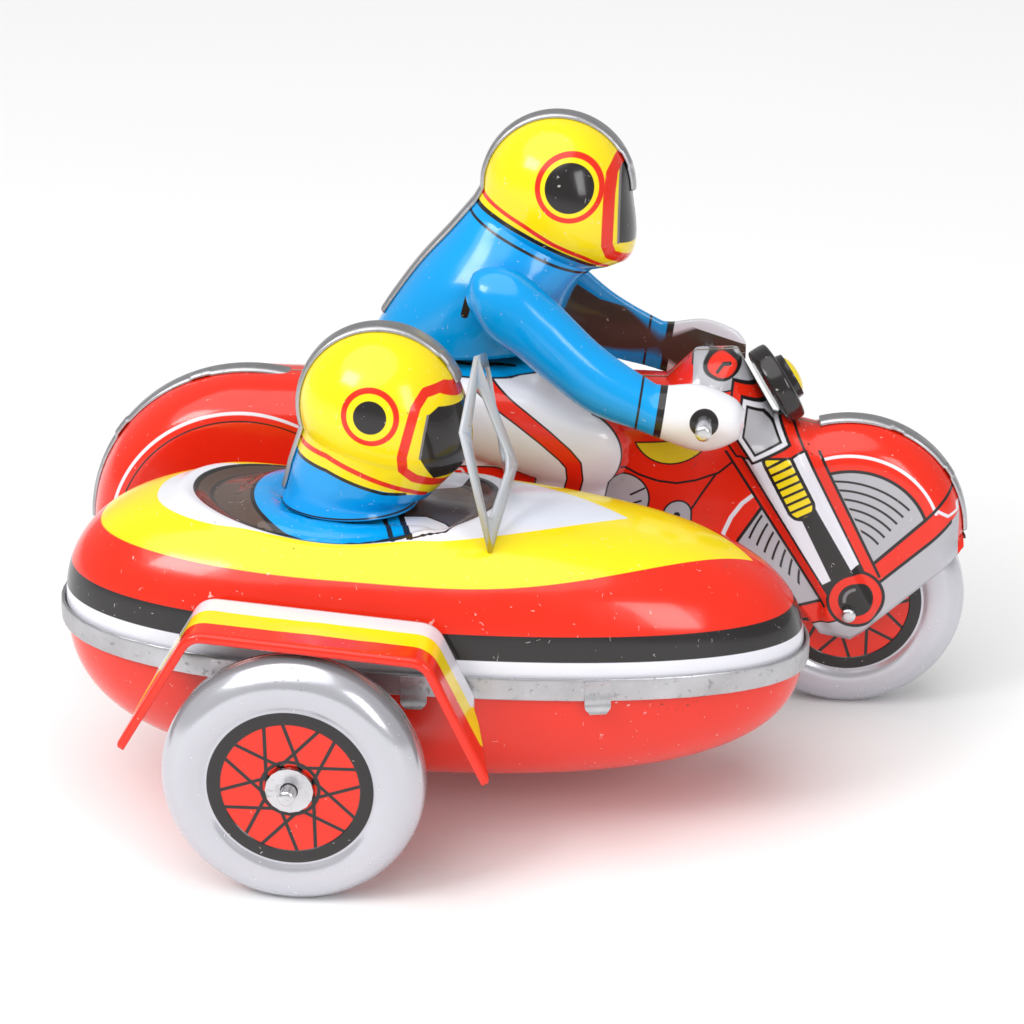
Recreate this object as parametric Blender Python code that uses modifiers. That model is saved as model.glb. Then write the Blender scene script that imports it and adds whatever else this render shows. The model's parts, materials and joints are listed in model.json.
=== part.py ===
"""Tin wind-up motorcycle with sidecar, rider and passenger.

Sizes below are in millimetres. +X is forward, +Y is the rider's left, +Z is up, and until the last
step y = 0 is the motorcycle's middle plane and z = 0 the floor. The last step moves the whole toy so
that the origin is the middle of the bottom of its bounding box.
"""

import math

import bmesh
import bpy
from mathutils import Matrix, Vector

MM = 0.001

# Driving sizes
WHEEL_RADIUS = 24.8
WHEEL_HALF_WIDTH = 5.5
WHEEL_SIDES = 24
SHEET = 0.5
GAP = 0.3
RUNNING_GAP = 0.07
AXLE_RADIUS = 1.5
FRONT_AXLE_X = 104.7
REAR_AXLE_X = -22.0
SIDECAR_AXLE_X = 0.0
BODY_HALF_WIDTH = 13.0
FRONT_HALF_WIDTH = 9.0
SIDECAR_MIDDLE_Y = -47.5
SIDECAR_HALF_WIDTH = 29.5
SIDECAR_TAIL_X = -52.0
SIDECAR_NOSE_X = 94.5
SIDECAR_WHEEL_Y = -92.7
GEAR_MODULE = 1.25
TIE_ROD = (62.0, 24.0)
STRIP_THICKNESS = 0.6
STRIP_HALF_WIDTH = 2.6
FIGURE_STRIP_HALF_WIDTH = 2.3
RIGHT_PLATE_Y = -6.9
LEFT_PLATE_Y = 10.9
PLATE_THICKNESS = 0.7
ARBOR_RADIUS = 1.2
WINDING_ARBOR_RADIUS = 1.8
PRESSED_FIT = 0.25

# Sizes worked out from them
AXLE_Z = WHEEL_RADIUS * math.cos(math.pi / WHEEL_SIDES)
REAR_AXLE = (REAR_AXLE_X, AXLE_Z)
FRONT_AXLE = (FRONT_AXLE_X, AXLE_Z)
SIDECAR_AXLE = (SIDECAR_AXLE_X, AXLE_Z)

# Gear train: teeth, then the places of the arbors
AXLE_PINION_TEETH = 10
SECOND_WHEEL_TEETH = 32
SECOND_PINION_TEETH = 8
GREAT_WHEEL_TEETH = 36
RATCHET_TEETH = 12


def on_circle(centre, radius, degrees):
    angle = math.radians(degrees)
    return (centre[0] + radius * math.cos(angle), centre[1] + radius * math.sin(angle))


def mesh_distance(teeth_a, teeth_b):
    return GEAR_MODULE * (teeth_a + teeth_b) / 2


SECOND_BEARING = 35.0
GREAT_BEARING = 10.0
SECOND_ARBOR = on_circle(REAR_AXLE, mesh_distance(AXLE_PINION_TEETH, SECOND_WHEEL_TEETH), SECOND_BEARING)
GREAT_ARBOR = on_circle(SECOND_ARBOR, mesh_distance(SECOND_PINION_TEETH, GREAT_WHEEL_TEETH), GREAT_BEARING)

# Fender circles and the outline of the motorcycle's stamped halves, from the tail to the nose
REAR_FENDER_CENTRE = (REAR_AXLE_X - 0.5, AXLE_Z + 11.8)
REAR_FENDER_RADIUS = WHEEL_RADIUS + 10.5
FRONT_FENDER_CENTRE = (FRONT_AXLE_X - 0.7, AXLE_Z + 15.6)
FRONT_FENDER_RADIUS = WHEEL_RADIUS - 0.5
SEAT_TOP = 78.7
HANDLEBAR_X = 73.4
HANDLEBAR_Z = 72.3
HANDLEBAR_RADIUS = 1.6
HANDLEBAR_HALF_LENGTH = 33.0
HEADLIGHT_CENTRE = (88.9, 72.4)
HEADLIGHT_TILT = 29.0
HEADLIGHT_RADIUS = 8.6

COLOURS = {
    "red": (0.85, 0.05, 0.02),
    "yellow": (0.95, 0.80, 0.04),
    "blue": (0.0, 0.30, 0.75),
    "white": (0.85, 0.85, 0.88),
    "black": (0.03, 0.03, 0.03),
    "grey": (0.55, 0.55, 0.58),
    "tin": (0.60, 0.60, 0.62),
    "steel": (0.45, 0.45, 0.47),
    "brass": (0.75, 0.55, 0.20),
}
METALS = ("tin", "steel", "brass")


# ---------------------------------------------------------------- scene helpers


def clear_scene():
    for obj in list(bpy.data.objects):
        bpy.data.objects.remove(obj)
    for collection in list(bpy.data.collections):
        bpy.data.collections.remove(collection)


def new_collection(name):
    collection = bpy.data.collections.new(name)
    bpy.context.scene.collection.children.link(collection)
    return collection


def material_for(name, colour):
    material = bpy.data.materials.new(name)
    material.use_nodes = True
    shader = material.node_tree.nodes["Principled BSDF"]
    shader.inputs["Base Color"].default_value = (*COLOURS[colour], 1.0)
    shader.inputs["Metallic"].default_value = 1.0 if colour in METALS else 0.0
    shader.inputs["Roughness"].default_value = 0.3
    return material


def to_object(name, bm, colour, origin=(0, 0, 0), smooth=False):
    """Makes a part from a bmesh in millimetres. Its origin is put at the given point."""
    origin = Vector(origin)
    bmesh.ops.translate(bm, verts=bm.verts, vec=-origin)
    bmesh.ops.scale(bm, verts=bm.verts, vec=(MM, MM, MM))
    mesh = bpy.data.meshes.new(name)
    bm.to_mesh(mesh)
    bm.free()
    obj = bpy.data.objects.new(name, mesh)
    obj.location = origin * MM
    PARTS.objects.link(obj)
    mesh.materials.append(material_for(name, colour))
    for polygon in mesh.polygons:
        polygon.use_smooth = smooth
    return obj


def add_solidify(obj, thickness):
    solidify = obj.modifiers.new("thickness", "SOLIDIFY")
    solidify.thickness = thickness * MM
    solidify.offset = -1.0
    return obj


def cylinder(bm, start, end, radius, sides, end_radius=None):
    start = Vector(start)
    end = Vector(end)
    turn = (end - start).to_track_quat("Z", "Y").to_matrix().to_4x4()
    place = Matrix.Translation((start + end) / 2) @ turn
    bmesh.ops.create_cone(
        bm,
        cap_ends=True,
        segments=sides,
        radius1=radius,
        radius2=radius if end_radius is None else end_radius,
        depth=(end - start).length,
        matrix=place,
    )


def rod(name, start, end, radius, colour, sides=12, origin=None):
    bm = bmesh.new()
    cylinder(bm, start, end, radius, sides)
    return to_object(name, bm, colour, origin or start, smooth=True)


def cut_holes(obj, holes):
    """Each hole is (start, end, radius). All of one part's holes are one cutter."""
    bm = bmesh.new()
    for start, end, radius in holes:
        cylinder(bm, start, end, radius, 16)
    mesh = bpy.data.meshes.new(obj.name + "_cutter")
    bmesh.ops.scale(bm, verts=bm.verts, vec=(MM, MM, MM))
    bm.to_mesh(mesh)
    bm.free()
    cutter = bpy.data.objects.new(obj.name + "_cutter", mesh)
    CUTTERS.objects.link(cutter)
    cutter.hide_render = True
    cutter.display_type = "WIRE"
    boolean = obj.modifiers.new("holes", "BOOLEAN")
    boolean.operation = "DIFFERENCE"
    boolean.solver = "EXACT"
    boolean.object = cutter


def grid(across, along, place):
    """A sheet of quads. place(i, j) gives the point of row i and column j."""
    bm = bmesh.new()
    verts = [[bm.verts.new(place(i, j)) for j in range(along + 1)] for i in range(across + 1)]
    for i in range(across):
        for j in range(along):
            corners = (verts[i][j], verts[i + 1][j], verts[i + 1][j + 1], verts[i][j + 1])
            bm.faces.new(corners)
    return bm


def face_away(bm, inner_point):
    """Merges what meets, then turns the sheet so that its faces look away from a point inside it."""
    bmesh.ops.remove_doubles(bm, verts=bm.verts, dist=0.001)
    bmesh.ops.dissolve_degenerate(bm, edges=bm.edges, dist=0.0005)
    bmesh.ops.recalc_face_normals(bm, faces=bm.faces)
    inner = Vector(inner_point)
    outward = sum(
        face.calc_area() * face.normal.dot(face.calc_center_median() - inner) for face in bm.faces
    )
    if outward < 0:
        bmesh.ops.reverse_faces(bm, faces=bm.faces)


def lathe(name, profile, centre, colour, steps=WHEEL_SIDES, outward=-1, smooth=True):
    """Turns a closed profile of (radius, distance) points round the Y axis through centre.

    Distances run along -Y when outward is -1 and along +Y when it is 1.
    """
    mesh = bpy.data.meshes.new(name)
    points = [(radius * MM, 0.0, height * MM) for radius, height in profile]
    edges = [(i, (i + 1) % len(points)) for i in range(len(points))]
    mesh.from_pydata(points, edges, [])
    obj = bpy.data.objects.new(name, mesh)
    obj.location = Vector(centre) * MM
    obj.rotation_euler = (-outward * math.pi / 2, 0, 0)
    PARTS.objects.link(obj)
    mesh.materials.append(material_for(name, colour))
    screw = obj.modifiers.new("turn", "SCREW")
    screw.axis = "Z"
    screw.steps = steps
    screw.render_steps = steps
    screw.use_merge_vertices = True
    screw.merge_threshold = 0.00001
    screw.use_smooth_shade = smooth
    return obj


def plate(name, outline, middle_y, thickness, colour, holes=(), origin=(0, 0)):
    """A flat plate in an XZ plane with round holes, each (x, z, radius)."""
    curve = bpy.data.curves.new(name, "CURVE")
    curve.dimensions = "2D"
    curve.fill_mode = "BOTH"
    curve.extrude = thickness / 2 * MM
    loops = [outline]
    for x, z, radius in holes:
        loops.append([on_circle((x, z), radius, 360 * k / 16) for k in range(16)])
    for loop in loops:
        spline = curve.splines.new("POLY")
        spline.points.add(len(loop) - 1)
        for point, (x, z) in zip(spline.points, loop):
            point.co = ((x - origin[0]) * MM, (z - origin[1]) * MM, 0, 1)
        spline.use_cyclic_u = True
    flat = bpy.data.objects.new(name + "_outline", curve)
    CUTTERS.objects.link(flat)
    bpy.context.view_layer.update()
    mesh = bpy.data.meshes.new_from_object(flat.evaluated_get(bpy.context.evaluated_depsgraph_get()))
    bpy.data.objects.remove(flat)
    bm = bmesh.new()
    bm.from_mesh(mesh)
    bpy.data.meshes.remove(mesh)
    bmesh.ops.scale(bm, verts=bm.verts, vec=(1 / MM, 1 / MM, 1 / MM))
    bmesh.ops.remove_doubles(bm, verts=bm.verts, dist=0.001)
    bmesh.ops.rotate(bm, verts=bm.verts, matrix=Matrix.Rotation(math.pi / 2, 3, "X"))
    bmesh.ops.recalc_face_normals(bm, faces=bm.faces)
    place = (origin[0], middle_y, origin[1])
    bmesh.ops.translate(bm, verts=bm.verts, vec=place)
    return to_object(name, bm, colour, place)


# ---------------------------------------------------------------- outlines


def arc(centre, radius, start, end, count):
    return [on_circle(centre, radius, start + (end - start) * k / count) for k in range(count + 1)]


def body_top_outline():
    """The top edge of the motorcycle's halves, from the tail to the tip of the front fender."""
    rear = arc(REAR_FENDER_CENTRE, REAR_FENDER_RADIUS, 180, 90, 9)
    front = arc(FRONT_FENDER_CENTRE, FRONT_FENDER_RADIUS, 108, 0, 9)
    seat_to_lamp = [
        (0.0, rear[-1][1]),
        (1.5, SEAT_TOP),
        (40.5, SEAT_TOP),
        (44.5, SEAT_TOP - 4.0),
        (50.0, SEAT_TOP - 6.0),
        (65.0, SEAT_TOP - 6.0),
        (71.0, SEAT_TOP),
        (79.6, SEAT_TOP + 0.6),
        (87.6, 65.4),
    ]
    return rear + seat_to_lamp + front


BODY_TOP = body_top_outline()
BODY_BOTTOM = [
    (BODY_TOP[0][0], BODY_TOP[0][1] - 4.0),
    (-48.0, 27.0),
    (-40.0, 19.0),
    (85.0, 19.0),
    (93.0, 27.0),
    (99.0, 19.0),
    (105.5, 17.8),
    (111.0, 22.5),
    (BODY_TOP[-1][0], BODY_TOP[-1][1] - 1.5),
]


def height_on(outline, x):
    for (x0, z0), (x1, z1) in zip(outline, outline[1:]):
        if x0 <= x <= x1 and x1 > x0:
            return z0 + (z1 - z0) * (x - x0) / (x1 - x0)
    return outline[0][1] if x < outline[0][0] else outline[-1][1]


def distance_to_line(point, start, end):
    point = Vector(point)
    start = Vector(start)
    along = Vector(end) - start
    part = max(0.0, min(1.0, (point - start).dot(along) / max(along.length_squared, 1e-9)))
    return (point - start - along * part).length


def distance_to_outline(point, outline):
    return min(distance_to_line(point, a, b) for a, b in zip(outline, outline[1:]))


def blend(value, low, high):
    """0 below low, 1 above high, smooth between."""
    t = max(0.0, min(1.0, (value - low) / (high - low)))
    return t * t * (3 - 2 * t)


def bulge(distance, radius, height):
    return height * math.sqrt(max(0.0, 1 - (distance / radius) ** 2)) if distance < radius else 0.0


SHOULDER_RADIUS = 8.0
THIGH = ((24.0, 69.0), (48.0, 60.5))
SHIN = ((47.5, 60.0), (41.0, 27.0))
FORK = ((79.0, 73.0), (105.0, 26.0))
FORK_RAISE = 1.6


def body_half_width(x, z):
    """How far the side of the motorcycle stands from its middle plane."""
    width = BODY_HALF_WIDTH + (FRONT_HALF_WIDTH - BODY_HALF_WIDTH) * blend(x, 58.0, 80.0)
    edge = min(1.0, distance_to_outline((x, z), BODY_TOP) / SHOULDER_RADIUS)
    width *= math.sqrt(1 - (1 - edge) ** 2)
    leg = max(
        bulge(distance_to_line((x, z), *THIGH), 9.5, 4.5),
        bulge(distance_to_line((x, z), *SHIN), 7.5, 2.6),
    )
    fork = FORK_RAISE * (1 - blend(distance_to_line((x, z), *FORK), 3.5, 5.5))
    boss = FORK_RAISE * (1 - blend((Vector((x, z)) - Vector(FRONT_AXLE)).length, 4.5, 6.5))
    return max(width, GAP) + leg + max(fork, boss) * edge


# ---------------------------------------------------------------- motorcycle body


BODY_LEVELS = (0.0, 0.2, 0.4, 0.58, 0.73, 0.84, 0.92, 0.97, 1.0)
LONGEST_STEP = 11.0


def body_stations():
    """A station at every corner of the top edge, and more where corners are far apart."""
    stations = []
    for (x0, _), (x1, _) in zip(BODY_TOP, BODY_TOP[1:]):
        count = math.ceil((x1 - x0) / LONGEST_STEP)
        stations += [x0 + (x1 - x0) * k / count for k in range(count)]
    return stations + [BODY_TOP[-1][0]]


def build_body_half(name, side):
    stations = body_stations()

    def place(i, j):
        x = stations[i]
        bottom = height_on(BODY_BOTTOM, x)
        top = height_on(BODY_TOP, x)
        z = bottom + (top - bottom) * BODY_LEVELS[j]
        return (x, side * body_half_width(x, z), z)

    bm = grid(len(stations) - 1, len(BODY_LEVELS) - 1, place)
    face_away(bm, (30.0, -side * 40.0, 40.0))
    half = to_object(name, bm, "red", smooth=True)
    add_solidify(half, SHEET)
    reach = side * 30.0
    hole = AXLE_RADIUS + 3 * RUNNING_GAP
    holes = [
        ((FRONT_AXLE_X, 0, AXLE_Z), (FRONT_AXLE_X, reach, AXLE_Z), hole),
        ((HANDLEBAR_X, 0, HANDLEBAR_Z), (HANDLEBAR_X, reach, HANDLEBAR_Z), HANDLEBAR_RADIUS + 0.2),
    ]
    if side < 0:
        holes.append(((SIDECAR_AXLE_X, 0, AXLE_Z), (SIDECAR_AXLE_X, reach, AXLE_Z), hole))
        holes.append(((TIE_ROD[0], 0, TIE_ROD[1]), (TIE_ROD[0], reach, TIE_ROD[1]), hole))
    else:
        key_hole = WINDING_ARBOR_RADIUS + 2 * GAP
        holes.append(((GREAT_ARBOR[0], 0, GREAT_ARBOR[1]), (GREAT_ARBOR[0], reach, GREAT_ARBOR[1]), key_hole))
    cut_holes(half, holes)
    return half


def build_strip(name, path, half_width, colour="tin", offset=GAP, middle_y=0.0):
    """A band over a seam. The path runs in an XZ plane with its outer side on the left."""
    points = [Vector(p) for p in path]

    def normal(i):
        before = points[max(i - 1, 0)]
        after = points[min(i + 1, len(points) - 1)]
        along = (after - before).normalized()
        return Vector((-along.y, along.x))

    def place(i, j):
        out = points[i] + normal(i) * (offset + STRIP_THICKNESS)
        return (out.x, middle_y + half_width * (2 * j - 1), out.y)

    bm = grid(len(points) - 1, 1, place)
    middle = sum(points, Vector((0, 0))) / len(points)
    inner = middle - normal(len(points) // 2) * 200.0
    face_away(bm, (inner.x, middle_y, inner.y))
    return add_solidify(to_object(name, bm, colour), STRIP_THICKNESS)


def build_fender_strips():
    rear = arc(REAR_FENDER_CENTRE, REAR_FENDER_RADIUS, 178, 90, 12)
    rear.append((-4.0, REAR_FENDER_CENTRE[1] + REAR_FENDER_RADIUS))
    build_strip("rear_fender_strip", rear, STRIP_HALF_WIDTH)
    front = arc(FRONT_FENDER_CENTRE, FRONT_FENDER_RADIUS, 107, 0, 14)
    build_strip("front_fender_strip", front, STRIP_HALF_WIDTH)


# ---------------------------------------------------------------- figures and arms


def build_half_shell(name, rows, side, steps, colour, middle_y=0.0, thickness=SHEET):
    """Lofts half ellipses. Each row is (back point, front point, edge y, bulge)."""

    def place(i, j):
        back, front, edge, width = rows[i]
        angle = math.pi * j / steps
        mix = (1 - math.cos(angle)) / 2
        x = back[0] + (front[0] - back[0]) * mix
        z = back[1] + (front[1] - back[1]) * mix
        return (x, middle_y + side * (edge + width * math.sin(angle)), z)

    bm = grid(len(rows) - 1, steps, place)
    middle_row = rows[len(rows) // 2]
    inner_x = (middle_row[0][0] + middle_row[1][0]) / 2
    inner_z = (middle_row[0][1] + middle_row[1][1]) / 2
    face_away(bm, (inner_x, middle_y + side * (middle_row[2] - 30.0), inner_z))
    return add_solidify(to_object(name, bm, colour, smooth=True), thickness)


def helmet_rows(centre, radius, half_width, tilt, start, count=7):
    """Rows of a ball from start degrees (below its middle) up to its pole."""
    axis = Vector((math.sin(math.radians(tilt)), math.cos(math.radians(tilt))))
    across = Vector((axis.y, -axis.x))
    rows = []
    for k in range(count + 1):
        angle = math.radians(start + (90.0 - start) * k / count)
        middle = Vector(centre) + axis * radius * math.sin(angle)
        reach = across * radius * max(math.cos(angle), 0.0)
        width = half_width * max(math.cos(angle), 0.0)
        rows.append((tuple(middle - reach), tuple(middle + reach), GAP, width))
    return rows


RIDER_HEAD = (42.0, 112.8)
RIDER_HEAD_RADIUS = 15.1
RIDER_TILT = 31.0
PASSENGER_HEAD = (11.6, 82.0)
PASSENGER_HEAD_RADIUS = 15.8
PASSENGER_TILT = 14.0
HEAD_HALF_WIDTH = 14.0
PASSENGER_Y = SIDECAR_MIDDLE_Y

RIDER_BODY_ROWS = [
    ((2.4, 79.4), (40.5, 79.4), GAP, 12.6),
    ((7.0, 87.2), (43.4, 86.4), GAP, 14.6),
    ((13.6, 96.4), (45.6, 91.6), GAP, 15.2),
    ((20.2, 103.8), (47.6, 94.6), GAP, 13.0),
    ((25.4, 110.0), (49.6, 96.2), GAP, 10.6),
    ((27.0, 112.8), (53.0, 98.0), GAP, 12.6),
]
PASSENGER_BODY_ROWS = [
    ((-8.4, 62.7), (18.4, 62.3), GAP, 12.0),
    ((-7.2, 66.0), (18.0, 63.4), GAP, 11.4),
    ((-6.0, 70.6), (21.0, 64.4), GAP, 11.8),
]


def rider_rows():
    return RIDER_BODY_ROWS + helmet_rows(RIDER_HEAD, RIDER_HEAD_RADIUS, HEAD_HALF_WIDTH, RIDER_TILT, -20.0)


def passenger_rows():
    head = helmet_rows(PASSENGER_HEAD, PASSENGER_HEAD_RADIUS, HEAD_HALF_WIDTH, PASSENGER_TILT, -30.0)
    return PASSENGER_BODY_ROWS + head


def back_path(rows, skip, past_pole):
    """The seam of a figure from its back over its head, then past_pole points down its front."""
    back = [row[0] for row in rows[skip:]]
    front = [row[1] for row in rows[-2 : -2 - past_pole : -1]]
    return back + front


def build_figures():
    for side, word in ((-1, "right"), (1, "left")):
        build_half_shell(f"rider_{word}_half", rider_rows(), side, 9, "blue")
        build_half_shell(f"passenger_{word}_half", passenger_rows(), side, 9, "yellow", PASSENGER_Y)
    width = FIGURE_STRIP_HALF_WIDTH
    build_strip("rider_strip", back_path(rider_rows(), 0, 3), width)
    build_strip("passenger_strip", back_path(passenger_rows(), 2, 4), width, middle_y=PASSENGER_Y)


ARM_ROWS = [
    ((26.8, 95.0), (27.8, 91.6), 16.0, 2.0),
    ((28.8, 99.4), (31.0, 87.2), 16.0, 5.4),
    ((34.6, 100.0), (35.6, 81.6), 16.2, 6.6),
    ((42.4, 94.2), (42.0, 76.6), 16.8, 6.8),
    ((52.3, 85.0), (50.0, 71.2), 18.0, 6.4),
    ((61.6, 79.0), (60.2, 68.0), 19.4, 5.6),
    ((65.0, 77.8), (64.6, 66.6), 19.8, 6.0),
    ((72.4, 78.4), (73.0, 64.4), 20.4, 6.4),
    ((79.0, 76.0), (79.6, 66.8), 20.8, 5.0),
    ((81.4, 73.4), (81.4, 69.8), 21.0, 2.2),
]


def build_arms():
    for side, word in ((-1, "right"), (1, "left")):
        arm = build_half_shell(f"rider_arm_{word}", ARM_ROWS, side, 8, "blue")
        reach = side * 40.0
        hole = ((HANDLEBAR_X, 0, HANDLEBAR_Z), (HANDLEBAR_X, reach, HANDLEBAR_Z), HANDLEBAR_RADIUS + 0.2)
        cut_holes(arm, [hole])


# ---------------------------------------------------------------- handlebar and headlight


def build_handlebar():
    ends = [(HANDLEBAR_X, side * HANDLEBAR_HALF_LENGTH, HANDLEBAR_Z) for side in (-1, 1)]
    rod("handlebar", ends[0], ends[1], HANDLEBAR_RADIUS, "tin", origin=(HANDLEBAR_X, 0, HANDLEBAR_Z))


def build_headlight():
    facing = Matrix.Rotation(math.radians(90.0 - HEADLIGHT_TILT), 4, "Y")
    centre = Vector((HEADLIGHT_CENTRE[0], 0, HEADLIGHT_CENTRE[1]))
    radius = HEADLIGHT_RADIUS
    bowl = [
        (radius - 1.0, 0.9),
        (radius, 0.0),
        (radius - 0.8, -1.2),
        (4.0, -2.4),
        (2.0, -2.4),
        (2.0, -1.8),
        (radius - 1.6, -0.6),
    ]
    lens_radius = radius - 1.9
    lens = [(0.0, 3.0), (lens_radius * 0.5, 2.5), (lens_radius * 0.85, 1.2), (lens_radius, 0.0), (0.0, 0.0)]
    for name, profile, colour in (("headlight_rim", bowl, "black"), ("headlight_lens", lens, "yellow")):
        obj = lathe(name, profile, centre, colour, steps=20)
        obj.rotation_euler = facing.to_euler()


# ---------------------------------------------------------------- wheels


def wheel_profile(bore):
    """The section of one pressed wheel half: disc, tyre and seam edge."""
    out = WHEEL_HALF_WIDTH
    radius = WHEEL_RADIUS
    ring = radius * 0.64
    return [
        (bore, out - 0.9),
        (ring, out - 0.9),
        (ring + 2.6, out),
        (radius - 3.6, out - 0.6),
        (radius, out - 2.6),
        (radius, GAP / 2),
        (radius - SHEET, GAP / 2),
        (radius - SHEET, out - 2.9),
        (ring + 2.0, out - 1.0 - SHEET),
        (bore, out - 0.9 - SHEET),
    ]


def build_wheel(name, centre_x, centre_y):
    bore = (AXLE_RADIUS + RUNNING_GAP) / math.cos(math.pi / WHEEL_SIDES)
    for outward, word in ((-1, "right"), (1, "left")):
        centre = (centre_x, centre_y, AXLE_Z)
        half = lathe(f"{name}_{word}_half", wheel_profile(bore), centre, "grey", outward=outward)
        # a flat of the tyre, not an edge, stands on the floor
        half.rotation_euler.rotate_axis("Z", math.pi / WHEEL_SIDES)


def build_wheels():
    build_wheel("front_wheel", FRONT_AXLE_X, 0.0)
    build_wheel("rear_wheel", REAR_AXLE_X, 0.0)
    build_wheel("sidecar_wheel", SIDECAR_AXLE_X, SIDECAR_WHEEL_Y)
    front_reach = FRONT_HALF_WIDTH + 3.4
    ends = [(FRONT_AXLE_X, side * front_reach, AXLE_Z) for side in (-1, 1)]
    rod("front_axle", ends[0], ends[1], AXLE_RADIUS, "tin")
    rod("rear_axle", (REAR_AXLE_X, RIGHT_PLATE_Y - 1.2, AXLE_Z), (REAR_AXLE_X, LEFT_PLATE_Y + 0.9, AXLE_Z),
        AXLE_RADIUS, "steel")
    rod("sidecar_axle", (SIDECAR_AXLE_X, SIDECAR_WHEEL_Y - 9.3, AXLE_Z), (SIDECAR_AXLE_X, -9.0, AXLE_Z),
        AXLE_RADIUS, "tin")
    washer = [
        (4.5, 0.8),
        (4.5, 0.0),
        (AXLE_RADIUS + 0.2, 0.0),
        (AXLE_RADIUS + 0.2, 0.8),
    ]
    face = SIDECAR_WHEEL_Y - WHEEL_HALF_WIDTH + 0.9 - GAP
    lathe("sidecar_washer", washer, (SIDECAR_AXLE_X, face, AXLE_Z), "tin", steps=16, smooth=False)


# ---------------------------------------------------------------- clockwork


GREAT_LAYER = 6.9
SECOND_LAYER = 9.0
GEAR_THICKNESS = 1.4
RATCHET_LAYER = 5.5
RATCHET_THICKNESS = 1.0
RATCHET_TIP_RADIUS = 5.4
RATCHET_ROOT_RADIUS = 4.2
CLICK_RADIUS = 2.0
CLICK_PIVOT_DISTANCE = 12.0
CLICK_TIP_DISTANCE = 6.1
KEY_THICKNESS = 1.4
KEY_HALF_OUTLINE = [
    (2.4, 0.0), (2.4, 4.0), (6.0, 4.6), (9.2, 7.0), (9.6, 10.4), (7.4, 12.6), (4.0, 12.0), (1.6, 9.4),
]
KEY_Y = 21.0


def gear_outline(teeth, start_angle, centre):
    """Thinned, straight-sided teeth: four points for each tooth."""
    pitch = GEAR_MODULE * teeth / 2
    tip = pitch + 0.85 * GEAR_MODULE
    root = pitch - 1.1 * GEAR_MODULE
    pitch_angle = 2 * math.pi / teeth
    points = []
    for k in range(teeth):
        middle = math.radians(start_angle) + k * pitch_angle
        shape = ((root, -0.30), (tip, -0.105), (tip, 0.105), (root, 0.30))
        for radius, part in shape:
            angle = middle + part * pitch_angle
            points.append((centre[0] + radius * math.cos(angle), centre[1] + radius * math.sin(angle)))
    return points


def gear(name, teeth, centre, layer, start_angle, colour, bore, thickness=GEAR_THICKNESS):
    outline = gear_outline(teeth, start_angle, centre)
    hole = (centre[0], centre[1], bore)
    return plate(name, outline, layer, thickness, colour, holes=[hole], origin=centre)


def meshing_angle(teeth, toward, partner_teeth, partner_angle, partner_toward):
    """The start angle that puts a tooth space of this gear against the partner's tooth, or the reverse."""
    partner_pitch = 360.0 / partner_teeth
    phase = ((partner_toward - partner_angle) / partner_pitch) % 1.0
    return toward + (phase + 0.5) * 360.0 / teeth


def build_gear_train():
    tight = ARBOR_RADIUS + PRESSED_FIT
    gear("axle_pinion", AXLE_PINION_TEETH, REAR_AXLE, SECOND_LAYER, 0.0, "brass", AXLE_RADIUS + PRESSED_FIT)
    second_angle = meshing_angle(
        SECOND_WHEEL_TEETH, SECOND_BEARING + 180.0, AXLE_PINION_TEETH, 0.0, SECOND_BEARING
    )
    gear("second_wheel", SECOND_WHEEL_TEETH, SECOND_ARBOR, SECOND_LAYER, second_angle, "brass", tight)
    gear("second_pinion", SECOND_PINION_TEETH, SECOND_ARBOR, GREAT_LAYER, second_angle, "steel", tight)
    great_angle = meshing_angle(
        GREAT_WHEEL_TEETH, GREAT_BEARING + 180.0, SECOND_PINION_TEETH, second_angle, GREAT_BEARING
    )
    running = WINDING_ARBOR_RADIUS + PRESSED_FIT + RUNNING_GAP
    gear("great_wheel", GREAT_WHEEL_TEETH, GREAT_ARBOR, GREAT_LAYER, great_angle, "brass", running)
    x, z = SECOND_ARBOR
    rod("second_arbor", (x, RIGHT_PLATE_Y - 0.9, z), (x, LEFT_PLATE_Y + 0.9, z), ARBOR_RADIUS, "steel")


def ratchet_outline(centre):
    points = []
    for k in range(RATCHET_TEETH):
        points.append(on_circle(centre, RATCHET_TIP_RADIUS, 360.0 * k / RATCHET_TEETH))
        points.append(on_circle(centre, RATCHET_ROOT_RADIUS, 360.0 * (k + 0.15) / RATCHET_TEETH))
    return points


def build_winding():
    x, z = GREAT_ARBOR
    rod("winding_arbor", (x, RIGHT_PLATE_Y - 0.9, z), (x, KEY_Y, z), WINDING_ARBOR_RADIUS, "steel")
    hole = (x, z, WINDING_ARBOR_RADIUS + PRESSED_FIT)
    teeth = ratchet_outline(GREAT_ARBOR)
    plate("ratchet_wheel", teeth, RATCHET_LAYER, RATCHET_THICKNESS, "steel", [hole], GREAT_ARBOR)
    pivot = on_circle(GREAT_ARBOR, CLICK_PIVOT_DISTANCE, 60.0)
    tip = on_circle(GREAT_ARBOR, CLICK_TIP_DISTANCE, 22.0)
    click = [on_circle(pivot, CLICK_RADIUS, degrees) for degrees in (150.0, 90.0, 30.0, -30.0)]
    click += [(tip[0] + 1.2, tip[1] + 0.2), tip, on_circle(pivot, CLICK_RADIUS, 210.0)]
    plate("ratchet_click", click, RATCHET_LAYER, RATCHET_THICKNESS, "steel", [], pivot)
    mirrored = [(-px, pz) for px, pz in reversed(KEY_HALF_OUTLINE)]
    key = plate("winding_key", KEY_HALF_OUTLINE + mirrored, 0.0, KEY_THICKNESS, "tin")
    key.location = Vector((x, KEY_Y + GAP, z)) * MM
    key.rotation_euler = (-math.pi / 2, 0, 0)
    build_mainspring()


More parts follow.
